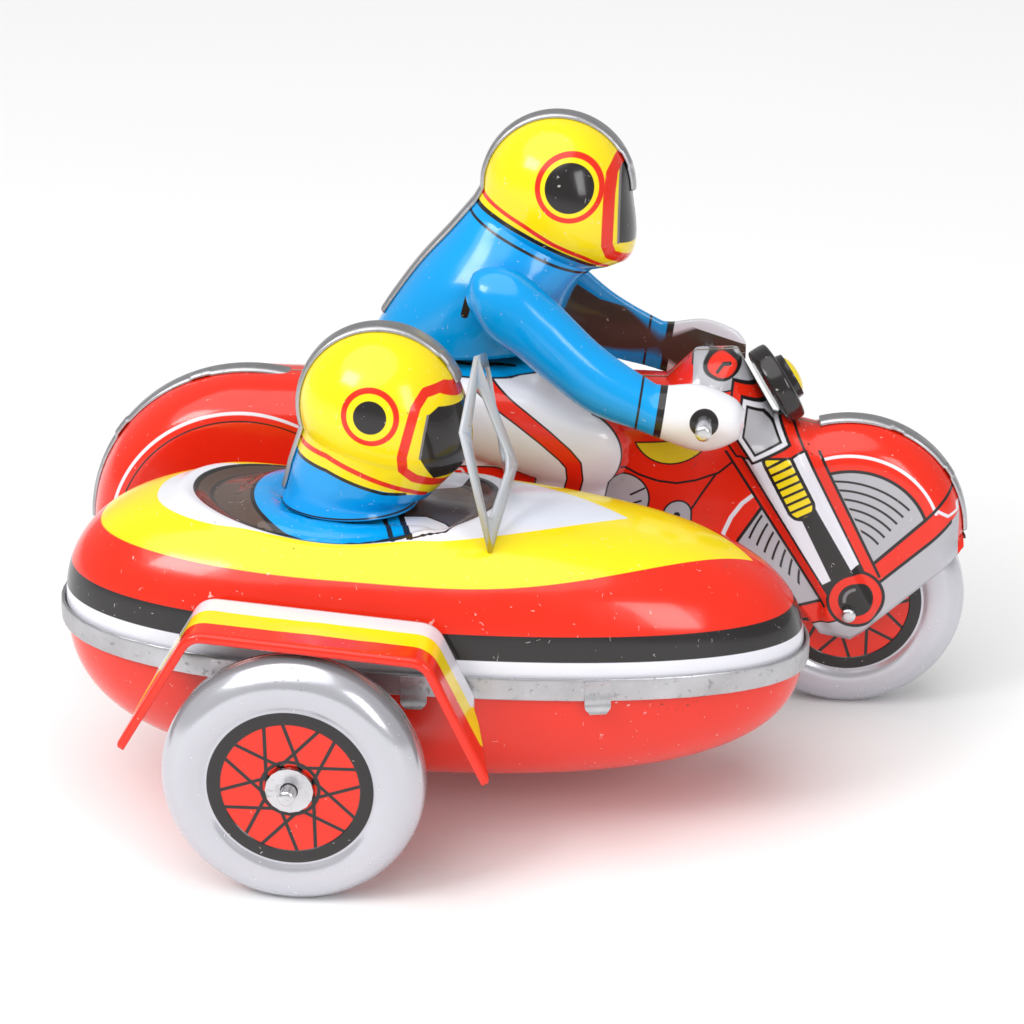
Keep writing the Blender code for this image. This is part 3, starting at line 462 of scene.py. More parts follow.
def half_shell_mesh(rows, side, steps, middle_y=0.0, inner_bulge=None):
    """A loft of half ellipses through the rows. A bulge closes it with a shallow inner side."""
    table = np.array(rows)
    last = len(table) - 1

    def shape(u, v):
        row = table[np.round(v * last).astype(int)]
        angle = math.pi * u * (1 if inner_bulge is None else 2)
        mix = (1 - np.cos(angle)) / 2
        out = np.where(angle > math.pi + 1e-6, inner_bulge or 0.0, row[:, 5])
        x = row[:, 0] + (row[:, 2] - row[:, 0]) * mix
        z = row[:, 1] + (row[:, 3] - row[:, 1]) * mix
        return x, middle_y + side * (row[:, 4] + out * np.sin(angle)), z

    middle = table[last // 2]
    bm = sheet(steps, last, shape)
    if inner_bulge is not None:
        return close_ends(bm)
    x, z = (middle[:2] + middle[2:4]) / 2
    return face_away(bm, (x, middle_y + side * (middle[4] - 30.0), z))


def back_path(rows, skip, past_pole):
    """The seam of a figure from its back over its head, then a way down its front."""
    back = [(row[0], row[1]) for row in rows[skip:]]
    front = [(row[2], row[3]) for row in rows[-2 : -2 - past_pole : -1]]
    return back + front


# ---------------------------------------------------------------- sidecar shapes

SEAM_TAIL_Z = 40.0
SEAM_NOSE_Z = 34.0
UPPER_HEIGHT = 26.5
LOWER_DEPTH = 27.0
HULL_FLATNESS = 3.4
HULL_SHOULDER = 0.4
HULL_CORNER_SPREAD = 0.18
HULL_ROW_SPREAD = 0.8
NOSE_POWER = 2.25
TAIL_POWER = 2.35
DISH_CENTRE = (4.0, SIDECAR_MIDDLE_Y + 2.0)
DISH_HALF_LENGTH = 31.0
DISH_HALF_WIDTH = 22.6
DISH_DEPTH = 2.4
BAND_HALF_HEIGHT = 2.3
BAND_THICKNESS = 0.8


def seam_height(x):
    part = (x - SIDECAR_TAIL_X) / (SIDECAR_NOSE_X - SIDECAR_TAIL_X)
    return SEAM_TAIL_Z + (SEAM_NOSE_Z - SEAM_TAIL_Z) * part


def hull_outline(angle, grow=0.0):
    """A rounded outline, fuller at the tail than at the nose, grown outwards by grow."""
    cos = np.cos(angle)
    sin = np.sin(angle)
    ahead = cos > 0
    length = np.where(ahead, SIDECAR_NOSE_X - SIDECAR_CENTRE_X, SIDECAR_CENTRE_X - SIDECAR_TAIL_X) + grow
    power = 2 / np.where(ahead, NOSE_POWER, TAIL_POWER)
    x = length * np.sign(cos) * np.abs(cos) ** power
    y = (SIDECAR_HALF_WIDTH + grow) * np.sign(sin) * np.abs(sin) ** power
    return SIDECAR_CENTRE_X + x, SIDECAR_MIDDLE_Y + y


def hull_rise(part):
    """Share of the full height at a share of the way from the middle to the seam."""
    return np.clip(1 - part**HULL_FLATNESS, 0, None) ** HULL_SHOULDER


def hull_angle(turn):
    angle = 2 * math.pi * turn
    return angle - HULL_CORNER_SPREAD * np.sin(2 * angle)


def hull_point(u, v):
    part = np.sin(v * math.pi / 2) ** HULL_ROW_SPREAD
    x, y = hull_outline(hull_angle(u))
    x = SIDECAR_CENTRE_X + (x - SIDECAR_CENTRE_X) * part
    return x, SIDECAR_MIDDLE_Y + (y - SIDECAR_MIDDLE_Y) * part, part


def dish_share(x, y):
    return np.hypot((x - DISH_CENTRE[0]) / DISH_HALF_LENGTH, (y - DISH_CENTRE[1]) / DISH_HALF_WIDTH)


ARM_LINE = ((-13.2, 1.0), (-12.0, 7.0), (-9.0, 12.6), (-2.0, 16.0), (7.0, 17.0), (20.0, 15.6))


def upper_shell_mesh():
    def shape(u, v):
        x, y, part = hull_point(u, v)
        z = seam_height(x) + GAP / 2 + UPPER_HEIGHT * hull_rise(part)
        inside = dish_share(x, y)
        z = z - DISH_DEPTH * (1 - ease(inside, 0.84, 1.0))
        z = z + 0.5 * np.exp(-(((inside - 1.04) / 0.04) ** 2))
        aside = np.abs(y - DISH_CENTRE[1])
        arm = np.full(x.shape, 1e3)
        for start, end in zip(ARM_LINE, ARM_LINE[1:]):
            arm = np.minimum(arm, to_line(x, aside, start, end))
        z = z + bulge(arm, 3.6, 1.1)
        return x, y, z

    bm = sheet(288, 88, shape)
    return face_away(bm, (SIDECAR_CENTRE_X, SIDECAR_MIDDLE_Y, 0.0))


def lower_shell_mesh():
    def shape(u, v):
        x, y, part = hull_point(u, v)
        return x, y, seam_height(x) - GAP / 2 - LOWER_DEPTH * hull_rise(part)

    return face_away(sheet(240, 48, shape), (SIDECAR_CENTRE_X, SIDECAR_MIDDLE_Y, 80.0))


def band_mesh():
    """The crimped band round the hull's seam, slightly rounded across, with the tool's ripples."""

    def shape(u, v):
        angle = hull_angle(u)
        turn = 2 * math.pi * v
        square = 0.55
        out = np.sign(np.cos(turn)) * np.abs(np.cos(turn)) ** square
        up = np.sign(np.sin(turn)) * np.abs(np.sin(turn)) ** square
        ripple = 0.05 * np.sin(angle * 97) + 0.04 * np.sin(angle * 41 + 1.0)
        grow = GAP + BAND_THICKNESS / 2 + (BAND_THICKNESS / 2 + ripple * (out > 0)) * out
        x, y = hull_outline(angle, 0.0)
        gx, gy = hull_outline(angle, 1.0)
        x = x + (gx - x) * grow
        y = y + (gy - y) * grow
        return x, y, seam_height(x) + BAND_HALF_HEIGHT * up

    return close_solid(sheet(300, 24, shape))


CLIP_ANGLES = (-107.0, -82.0, -59.0)


def clip_mesh(degrees):
    """A bent tab that grips the band: flat against it, with a curled lower end."""
    angle = math.radians(degrees)
    out = 2 * GAP + BAND_THICKNESS
    x, y = (float(value) for value in hull_outline(np.array(angle), out))
    before = np.array(hull_outline(np.array(angle - 0.02), out))
    after = np.array(hull_outline(np.array(angle + 0.02), out))
    heading = math.atan2(after[1] - before[1], after[0] - before[0])

    def shape(u, v):
        across = (u - 0.5) * 5.0
        down = 2.0 - 6.4 * v
        narrow = 1 - 0.35 * ease(v, 0.75, 1.0) ** 2
        curl = 0.8 * ease(v, 0.6, 1.0) ** 2 - 0.35 * np.sin(math.pi * np.clip(v / 0.6, 0, 1))
        return across * narrow, -0.15 - curl, down

    bm = sheet(8, 24, shape)
    face_away(bm, (0.0, 30.0, 0.0))
    bmesh.ops.solidify(bm, geom=bm.faces, thickness=0.35)
    close_solid(bm, 0.0005)
    bmesh.ops.rotate(bm, verts=bm.verts, matrix=Matrix.Rotation(heading, 3, "Z"))
    bmesh.ops.translate(bm, verts=bm.verts, vec=(x, y, float(seam_height(x))))
    return bm


# ---------------------------------------------------------------- sidecar fender and windscreen

FENDER_PATH = ((-33.0, 30.5), (-18.7, 54.1), (25.5, 50.3), (36.8, 26.0))
FENDER_INNER_Y = -78.5
FENDER_OUTER_Y = -94.6
FENDER_FLANGE = 2.2
FENDER_THICKNESS = 0.6
FENDER_CUT_AT = (0.0, 0.24, 0.34, 0.6, 0.85, 1.0)
FENDER_CUT = (10.5, 9.6, 7.2, 4.4, 1.6, 0.0)


def rounded(points, trim, count=8):
    """The polyline with each inner corner replaced by a short curve."""
    points = np.array(points, float)
    path = [points[0]]
    for before, corner, after in zip(points, points[1:], points[2:]):
        start = corner + (before - corner) * min(0.49, trim / np.linalg.norm(before - corner))
        end = corner + (after - corner) * min(0.49, trim / np.linalg.norm(after - corner))
        for part in np.linspace(0.0, 1.0, count):
            path.append((1 - part) ** 2 * start + 2 * part * (1 - part) * corner + part**2 * end)
    return np.array(path + [points[-1]])


def fender_mesh():
    """A folded strip with rounded bends, a lip turned down on its outer edge and pointed legs."""
    path = rounded(FENDER_PATH, 3.2)
    length = np.linalg.norm(np.diff(path, axis=0), axis=1).sum()
    width = FENDER_INNER_Y - FENDER_OUTER_Y
    bend = 0.9

    def shape(u, v):
        run = v * (width + FENDER_FLANGE - bend)
        flat = np.minimum(run, width - bend)
        turn = np.clip((run - (width - bend)) / (bend * math.pi / 2), 0, 1) * math.pi / 2
        drop = np.clip(run - (width - bend) - bend * math.pi / 2, 0, None)
        y = FENDER_INNER_Y - flat - bend * np.sin(turn)
        inward = bend * (1 - np.cos(turn)) + drop
        cut = np.interp(np.clip(run / width, 0, 1), FENDER_CUT_AT, FENDER_CUT) / length
        x, z, nx, nz = along_path(path, cut + (1 - 2 * cut) * u)
        return x - nx * inward, y, z - nz * inward

    return face_away(sheet(196, 40, shape), (0.0, FENDER_INNER_Y - 8.0, 0.0))


WINDSCREEN_FOOT = (34.6, 19.0)
WINDSCREEN_CORNER = (29.6, 22.5, 85.5)
WINDSCREEN_APEX = (30.2, 0.0, 92.6)
WINDSCREEN_BASE = (38.0, 0.0, 70.5)
WINDSCREEN_THICKNESS = 0.8
WINDOW_CORNER = 3.2


def hull_top(x, out):
    ahead = abs(x - SIDECAR_CENTRE_X) / (SIDECAR_NOSE_X - SIDECAR_CENTRE_X)
    part = (ahead**NOSE_POWER + (out / SIDECAR_HALF_WIDTH) ** NOSE_POWER) ** (1 / NOSE_POWER)
    return float(seam_height(x) + UPPER_HEIGHT * hull_rise(part))


def windscreen_wing(bm, side, bar):
    """One wing: a frame round an open window with rounded corners."""
    foot = Vector((WINDSCREEN_FOOT[0], side * WINDSCREEN_FOOT[1], hull_top(*WINDSCREEN_FOOT) + 2 * GAP))
    corner = Vector((WINDSCREEN_CORNER[0], side * WINDSCREEN_CORNER[1], WINDSCREEN_CORNER[2]))
    middle = Vector((0, SIDECAR_MIDDLE_Y, 0))
    points = (foot, corner, Vector(WINDSCREEN_APEX), Vector(WINDSCREEN_BASE))
    face = bm.faces.new([bm.verts.new(point + middle) for point in points])
    bm.normal_update()
    bmesh.ops.inset_individual(bm, faces=[face], thickness=bar, use_even_offset=True)
    bmesh.ops.bevel(
        bm, geom=list(face.verts), offset=WINDOW_CORNER, offset_type="OFFSET", segments=7,
        profile=0.5, affect="VERTICES", material=-1,
    )
    inside = sum(points, Vector()) / len(points) + middle
    nearest = min(bm.faces, key=lambda f: (f.calc_center_median() - inside).length)
    bmesh.ops.delete(bm, geom=[nearest], context="FACES_ONLY")


def windscreen_mesh(bar):
    bm = bmesh.new()
    windscreen_wing(bm, -1, bar)
    far = bmesh.new()
    windscreen_wing(far, 1, bar)
    spare = bpy.data.meshes.new("windscreen_far_wing")
    far.to_mesh(spare)
    far.free()
    bm.from_mesh(spare)
    bpy.data.meshes.remove(spare)
    bmesh.ops.remove_doubles(bm, verts=bm.verts, dist=0.01)
    bmesh.ops.triangulate(bm, faces=bm.faces)
    bmesh.ops.recalc_face_normals(bm, faces=bm.faces)
    return bm


# ---------------------------------------------------------------- turned pieces


WHEEL_BORE = 1.75
WHEEL_STEPS = 120
TYRE_INSIDE = 0.64


def wheel_half_mesh(centre, side):
    """The pressed half of a wheel: a flat disc, a rounded tyre and a straight edge at the seam."""
    out = WHEEL_HALF_WIDTH
    bore = WHEEL_BORE
    ring = WHEEL_RADIUS * TYRE_INSIDE
    tyre = through_points(
        [
            (ring + 0.2, out - 0.9),
            (ring + 1.4, out - 0.3),
            (ring + 3.2, out),
            (ring + 5.2, out - 0.25),
            (ring + 7.0, out - 1.3),
            (WHEEL_RADIUS - 0.5, out - 3.0),
            (WHEEL_RADIUS - 0.05, out - 4.4),
            (WHEEL_RADIUS, GAP / 2),
        ],
        44,
    ).tolist()
    disc = [(bore, out - 0.9), (6.0, out - 0.9), (10.0, out - 0.9), (13.0, out - 0.9), (13.2, out - 0.75)]
    profile = disc + [(ring - 0.4, out - 0.75), (ring, out - 0.86)] + tyre
    inner = (centre[0], centre[1] - side * 40.0, centre[2])
    return face_away(spin_around(profile, centre, (0, side, 0), WHEEL_STEPS, closed=False), inner)


ROD_END_RIM = 0.35
ROD_END_DOME = 0.12
ROD_STEPS = 32


def rounded_end_rod(start, end, radius):
    """A rod with snipped and slightly domed ends."""
    start = Vector(start)
    way = Vector(end) - start
    dome = [(0.0, 0.0), (radius * 0.55, 0.05), (radius - ROD_END_RIM, ROD_END_DOME)]
    dome.append((radius, ROD_END_DOME + ROD_END_RIM))
    far = [(out, way.length - inward) for out, inward in reversed(dome)]
    return spin_profile(dome + far, start, way, ROD_STEPS)


HEADLIGHT_CENTRE = (88.9, 0.0, 72.4)
HEADLIGHT_TILT = 29.0
HEADLIGHT_RADIUS = 8.6
HEADLIGHT_DRUM_RADIUS = 4.8
HEADLIGHT_TURN = 15.0
HANDLEBAR = (73.4, 72.3)
HANDLEBAR_RADIUS = 1.6
AXLE_RADIUS = 1.5


def headlight_axis():
    lean = math.radians(90.0 - HEADLIGHT_TILT)
    turn = math.radians(HEADLIGHT_TURN)
    return (math.sin(lean) * math.cos(turn), math.sin(lean) * math.sin(turn), math.cos(lean))


def headlight_rim_mesh():
    """A deep black rim with a smaller drum in front of it, which holds the lens."""
    r = HEADLIGHT_RADIUS
    drum = HEADLIGHT_DRUM_RADIUS
    lip = [(r - 1.6, 1.0), (r - 0.5, 0.8), (r, 0.1), (r, -2.4), (r - 0.4, -3.1), (r - 1.4, -3.3)]
    profile = through_points(lip, 30).tolist() + [(0.0, -3.3), (0.0, 1.2), (drum - 0.5, 1.2)]
    profile += [(drum - 0.5, 2.6), (drum, 2.6), (drum + 0.3, 1.2), (drum + 1.0, 0.6)]
    return spin_profile(profile, HEADLIGHT_CENTRE, headlight_axis(), 96)


def headlight_lens_mesh():
    r = HEADLIGHT_DRUM_RADIUS - 0.6
    dome = [(r * math.sin(math.radians(a)), 2.2 + 1.7 * math.cos(math.radians(a))) for a in range(0, 91, 5)]
    return spin_profile(dome + [(r, 1.3), (0.0, 1.3)], HEADLIGHT_CENTRE, headlight_axis(), 72)


KEY_HALF_OUTLINE = (
    (2.4, 0.0), (2.4, 4.0), (6.0, 4.6), (9.2, 7.0), (9.6, 10.4), (7.4, 12.6), (4.0, 12.0), (1.6, 9.4),
)
KEY_THICKNESS = 1.4


def winding_key_mesh():
    """A flat butterfly key with rolled edges."""
    low, high = box_in_layout("winding_key")
    middle = (low + high) / 2
    outline = list(KEY_HALF_OUTLINE) + [(-x, out) for x, out in reversed(KEY_HALF_OUTLINE)]
    bm = bmesh.new()
    bottom = middle[2] - KEY_THICKNESS / 2
    verts = [bm.verts.new((middle[0] + x, low[1] + out, bottom)) for x, out in outline]
    bm.faces.new(verts)
    bmesh.ops.bevel(
        bm, geom=verts, offset=1.1, offset_type="OFFSET", segments=4, profile=0.5,
        affect="VERTICES", material=-1,
    )
    made = bmesh.ops.extrude_face_region(bm, geom=list(bm.faces))
    lifted = [item for item in made["geom"] if isinstance(item, bmesh.types.BMVert)]
    bmesh.ops.translate(bm, verts=lifted, vec=(0, 0, KEY_THICKNESS))
    rims = [edge for edge in bm.edges if len(edge.link_faces) == 2 and edge.calc_face_angle(0) > 1.2]
    bmesh.ops.bevel(
        bm, geom=rims, offset=0.35, offset_type="OFFSET", segments=3, profile=0.5,
        affect="EDGES", material=-1,
    )
    return close_solid(bm, 0.0005)


# ---------------------------------------------------------------- shader maths


def srgb(red, green, blue):
    """A colour given as 0 to 255 screen values, as the shader's linear numbers."""

    def linear(value):
        part = value / 255
        return part / 12.92 if part <= 0.04045 else ((part + 0.055) / 1.055) ** 2.4

    return (linear(red), linear(green), linear(blue))


def both_ways(operation):
    """The plain and the reflected form of an operator."""

    def plain(self, other):
        return self.finish.maths(operation, self, other)

    def reflected(self, other):
        return self.finish.maths(operation, other, self)

    return plain, reflected


class Wire:
    """A number socket, so that shader maths is written as an expression."""

    def __init__(self, finish, socket):
        self.finish = finish
        self.socket = socket

    __add__, __radd__ = both_ways("ADD")
    __sub__, __rsub__ = both_ways("SUBTRACT")
    __mul__, __rmul__ = both_ways("MULTIPLY")
    __truediv__, __rtruediv__ = both_ways("DIVIDE")

    def __pow__(self, other):
        return self.finish.maths("POWER", self, other)

    def __abs__(self):
        return self.finish.maths("ABSOLUTE", self)

    def __neg__(self):
        return self.finish.maths("MULTIPLY", self, -1.0)

    def least(self, other):
        return self.finish.maths("MINIMUM", self, other)

    def most(self, other):
        return self.finish.maths("MAXIMUM", self, other)


LACQUER_COAT = 0.3
LACQUER_SHINE = 0.36
COAT_ROUGHNESS = 0.06
DENT_DEPTH = 0.42


class Finish:
    """One procedural material and the nodes that make it. Lengths in it are millimetres."""

    def __init__(self, name):
        self.material = bpy.data.materials.new(name)
        self.material.use_nodes = True
        self.tree = self.material.node_tree
        self.tree.nodes.clear()
        self.shader = self.tree.nodes.new("ShaderNodeBsdfPrincipled")
        out = self.tree.nodes.new("ShaderNodeOutputMaterial")
        self.tree.links.new(self.shader.outputs[0], out.inputs[0])
        place = self.node("ShaderNodeTexCoord", output="Object")
        origin = tuple(-value for value in LAYOUT_ORIGIN)
        self.place = self.vector("MULTIPLY_ADD", place, (1 / MM,) * 3, origin)

    def feed(self, socket, value):
        if isinstance(value, Wire):
            self.tree.links.new(value.socket, socket)
        else:
            socket.default_value = value

    def node(self, kind, settings=None, inputs=None, output=0):
        """Any node: its type, its settings, its sockets' values or links, and the output wanted."""
        node = self.tree.nodes.new(kind)
        for name, value in (settings or {}).items():
            setattr(node, name, value)
        for name, value in (inputs or {}).items():
            self.feed(node.inputs[name], value)
        return Wire(self, node.outputs[output])

    def maths(self, operation, *values, clamp=False):
        settings = {"operation": operation, "use_clamp": clamp}
        return self.node("ShaderNodeMath", settings, dict(enumerate(values)))

    def vector(self, operation, *values, output=0):
        return self.node("ShaderNodeVectorMath", {"operation": operation}, dict(enumerate(values)), output)

    def mix(self, low, high, share):
        """Colour low where share is 0, colour high where it is 1."""
        colours = [value if isinstance(value, Wire) else (*value, 1.0) for value in (low, high)]
        inputs = {0: share, 6: colours[0], 7: colours[1]}
        return self.node("ShaderNodeMix", {"data_type": "RGBA"}, inputs, 2)

    def apart(self, output):
        return self.node("ShaderNodeSeparateXYZ", None, {0: self.place}, output)

    def noise(self, size, detail=2.0, stretch=(1, 1, 1), shift=0.0, roughness=0.5):
        """Cloudy noise whose blobs are about size millimetres across."""
        scale = tuple(1 / (size * part) for part in stretch)
        place = self.vector("MULTIPLY_ADD", self.place, scale, (shift, shift * 1.7, shift * 0.6))
        inputs = {"Vector": place, "Scale": 1.0, "Detail": detail, "Roughness": roughness}
        return self.node("ShaderNodeTexNoise", None, inputs)

    def above(self, value, level, soft):
        """0 below the level, 1 above it, with a ramp of the given width."""
        return self.maths("MULTIPLY_ADD", value, 1 / soft, 0.5 - level / soft, clamp=True)

    def inside(self, distance, soft=0.12):
        """1 where a signed distance is below 0."""
        return self.maths("MULTIPLY_ADD", distance, -1 / soft, 0.5, clamp=True)

    def scratches(self, shift, stretch, size, width, share):
        """Thin broken lines: the walls of long narrow cells, shown only in patches."""
        scale = tuple(1 / (size * part) for part in stretch)
        wobble = self.noise(size * 0.8, 2.0, shift=shift + 3.1)
        place = self.vector("MULTIPLY_ADD", self.place, scale, (shift, shift, shift))
        place = self.vector("ADD", place, wobble * 0.35)
        cells = self.node(
            "ShaderNodeTexVoronoi", {"feature": "DISTANCE_TO_EDGE"}, {"Vector": place, "Scale": 1.0}
        )
        patches = self.above(self.noise(size * 0.45, 1.0, shift=shift + 7.7), share, 0.03)
        return self.inside(cells - width, width) * patches

    def finish(self, colour, roughness, metallic=0.0, coat=None, height=None, depth=0.0, **constants):
        self.feed(self.shader.inputs["Base Color"], colour)
        self.feed(self.shader.inputs["Roughness"], roughness)
        self.feed(self.shader.inputs["Metallic"], metallic)
        if coat is not None:
            self.feed(self.shader.inputs["Coat Weight"], coat)
            self.shader.inputs["Coat Roughness"].default_value = COAT_ROUGHNESS
        if height is not None:
            inputs = {"Strength": 1.0, "Distance": depth * MM, "Height": height}
            self.feed(self.shader.inputs["Normal"], self.node("ShaderNodeBump", None, inputs))
        for name, value in constants.items():
            self.shader.inputs[name].default_value = value
        return self.material

    def printed_tin(self, colour, shift=0.0, wear=1.0, hue=0.05, silver=None):
        """Glossy printed lacquer on tin, with mottling, scratches, chips and small dents."""
        wear = wear * settings().wear
        cloud = self.noise(26.0, 3.0, shift=shift)
        tint = self.maths("MULTIPLY_ADD", cloud, 2 * hue, 1 - hue)
        colour = self.node("ShaderNodeVectorMath", {"operation": "SCALE"}, {0: colour, "Scale": tint})
        fine = self.scratches(shift, (1.0, 1.0, 6.0), 3.4, 0.008, 0.76 - 0.06 * wear)
        cross = self.scratches(shift + 5.0, (7.0, 1.0, 1.6), 3.0, 0.010, 0.77 - 0.06 * wear)
        marks = fine.most(cross)
        grit = self.noise(0.75, 4.0, shift=shift + 11.0, roughness=0.65)
        zone = self.noise(15.0, 2.0, shift=shift + 17.0)
        chips = self.above(grit + zone * 0.55, 1.12 - 0.05 * wear, 0.02)
        colour = self.mix(colour, srgb(232, 226, 218), marks * 0.5)
        bared = self.mix(srgb(196, 192, 188), srgb(92, 74, 60), self.above(zone, 0.62, 0.1))
        colour = self.mix(colour, bared, chips)
        smear = self.noise(7.0, 3.0, stretch=(1, 1, 2.5), shift=shift + 23.0)
        rough = self.maths("MULTIPLY_ADD", smear, 0.14, 0.13)
        rough = rough + marks * 0.25 + chips * 0.25
        bare = chips * 0.8 if silver is None else (chips * 0.8).most(silver)
        dents = self.noise(13.0, 1.0, shift=shift + 29.0)
        peel = self.noise(1.1, 2.0, shift=shift + 31.0)
        height = dents * 1.0 + peel * 0.022 - chips * 0.12 - marks * 0.03
        coat = LACQUER_COAT - chips * LACQUER_COAT
        shine = {"Specular IOR Level": LACQUER_SHINE}
        return self.finish(colour, rough, bare, coat, height, DENT_DEPTH, **shine)


class Artwork:
    """Printed shapes in one plane of the toy, as signed distances that are below 0 inside."""

    def __init__(self, finish, plane):
        self.finish = finish
        self.plane = plane
        keep = (1.0, 0.0, 1.0) if plane == "xz" else (1.0, 1.0, 0.0)
        self.point = finish.vector("MULTIPLY", finish.place, keep)

    @property
    def x(self):
        return self.finish.apart(0)

    @property
    def z(self):
        return self.finish.apart(2)

    def spot(self, point):
        return (point[0], 0.0, point[1]) if self.plane == "xz" else (point[0], point[1], 0.0)

    def reach(self, centre):
        return self.finish.vector("DISTANCE", self.point, self.spot(centre), output=1)

    def disc(self, centre, radius):
        return self.reach(centre) - radius

    def ring(self, centre, radius, half_width):
        return abs(self.reach(centre) - radius) - half_width

    def beyond(self, start, end):
        """Signed distance to a line, positive on the left of the way from start to end."""
        dx = end[0] - start[0]
        dz = end[1] - start[1]
        size = math.hypot(dx, dz)
        normal = (-dz / size, dx / size)
        dot = self.finish.vector("DOT_PRODUCT", self.point, self.spot(normal), output=1)
        return dot - (normal[0] * start[0] + normal[1] * start[1])

    def segment(self, start, end):
        dx = end[0] - start[0]
        dz = end[1] - start[1]
        size = dx * dx + dz * dz
        way = self.finish.vector("DOT_PRODUCT", self.point, self.spot((dx / size, dz / size)), output=1)
        share = (start[0] * dx + start[1] * dz) / size
        part = self.finish.maths("SUBTRACT", way, share, clamp=True)
        near = self.finish.vector("MULTIPLY_ADD", part, self.spot((dx, dz)), self.spot(start))
        return self.finish.vector("DISTANCE", self.point, near, output=1)

    def line(self, points, half_width):
        distance = None
        for start, end in zip(points, points[1:]):
            piece = self.segment(start, end)
            distance = piece if distance is None else distance.least(piece)
        return distance - half_width

    def facet(self, points):
        """A convex shape whose corners run anticlockwise."""
        distance = None
        for start, end in zip(points, points[1:] + points[:1]):
            edge = -self.beyond(start, end)
            distance = edge if distance is None else distance.most(edge)
        return distance


class Print:
    """Lays colours over each other, as a printing press does."""

    def __init__(self, art, base):
        self.art = art
        self.finish = art.finish
        self.colour = base

    def lay(self, colour, distance, soft=0.14):
        self.colour = self.finish.mix(self.colour, colour, self.finish.inside(distance, soft))

    def line(self, colour, points, half_width):
        self.lay(colour, self.art.line(points, half_width))

    def outlined(self, colour, shape, edge):
        """A colour on a black shape, which shows past it as an outline."""
        self.lay(ink("black"), shape)
        self.lay(colour, shape + edge)


# ---------------------------------------------------------------- printed artwork


def settings():
    return bpy.context.scene.tin_toy


def ink(name):
    return tuple(getattr(settings(), name))[:3]


def comb(finish, value, start, pitch, half_width):
    """Repeated stripes: below 0 within half a width of start, start + pitch and so on."""
    turn = finish.maths("FRACT", (value - start) * (1 / pitch) + 0.5)
    return abs(turn - 0.5) * pitch - half_width


def print_front_fender(art, press):
    black, white, grey = ink("black"), ink("white"), ink("grey")
    x = art.x
    z = art.z
    ring = art.ring((104.0, 40.19), 19.1, 0.3).most(46.7 - z).most(96.5 - x)
    press.lay(white, ring)
    press.line(white, [(122.0, 47.6), (124.5, 46.0), (126.6, 46.6), (126.4, 48.0)], 0.3)
    right = art.beyond((98.0, 56.0), (108.6, 34.8))
    above = art.beyond((108.6, 34.6), (120.3, 46.3))
    fan = art.disc((104.3, 39.5), 16.6).most(-right).most(-above)
    press.lay(black, fan - 0.35)
    press.lay(grey, fan + 0.35)
    reach = art.reach((101.5, 32.5))
    strokes = comb(art.finish, reach, 11.5, 1.96, 0.25).most(10.9 - reach).most(reach - 21.9)
    strokes = strokes.most(-art.beyond((100.2, 54.5), (106.4, 43.0)))
    strokes = strokes.most(-art.beyond((109.8, 39.3), (116.6, 48.2)))
    press.lay(black, strokes)
    hem_line = art.beyond((111.5, 31.8), (122.6, 42.2))
    press.lay(black, abs(above) - 0.35)
    press.lay(srgb(178, 178, 184), hem_line.most(x - 127.0))
    press.lay(black, (abs(hem_line) - 0.35).most(x - 125.4))


def slanted(art, at_fifty, slope):
    """Signed distance right of a leaning line that crosses the height 50 at the given place."""
    size = math.hypot(1.0, slope)
    x = art.x
    z = art.z
    return (x - z * slope - (at_fifty - 50.0 * slope)) * (1 / size)


def print_fork(art, press):
    z = art.z
    top = z - 60.0

    def strip(left, left_slope, right, right_slope):
        return (-slanted(art, left, left_slope)).most(slanted(art, right, right_slope)).most(top)

    foot = art.beyond((97.0, 24.0), (112.0, 33.0))
    press.lay(ink("black"), strip(83.8, -0.636, 102.5, -0.5).most(-foot))
    press.lay(ink("red"), strip(84.5, -0.636, 86.5, -0.63).most(-foot))
    white_foot = art.beyond((98.0, 30.4), (107.0, 35.6))
    press.lay(ink("white"), strip(87.2, -0.62, 99.0, -0.51).most(-white_foot))
    taper = art.facet([(101.2, 31.0), (105.6, 33.0), (96.6, 48.6), (93.0, 47.6)])
    press.lay(ink("black"), taper)
    press.lay(ink("red"), strip(99.6, -0.5, 101.8, -0.5).most(-foot))
    print_spring(art, press)


def print_spring(art, press):
    """The fork's spring: a yellow block with rounded ends, ringed in black and crossed by bars."""
    start = (88.4, 58.6)
    end = (93.8, 48.3)
    block = art.segment(start, end) - 3.05
    press.outlined(ink("yellow"), block, 0.7)
    length = math.dist(start, end)
    aside = (start[0] - (end[1] - start[1]), start[1] + end[0] - start[0])
    along = art.beyond(aside, start)
    bars = comb(art.finish, along, length * 0.06, 1.85, 0.3).most(block)
    press.lay(ink("black"), bars)


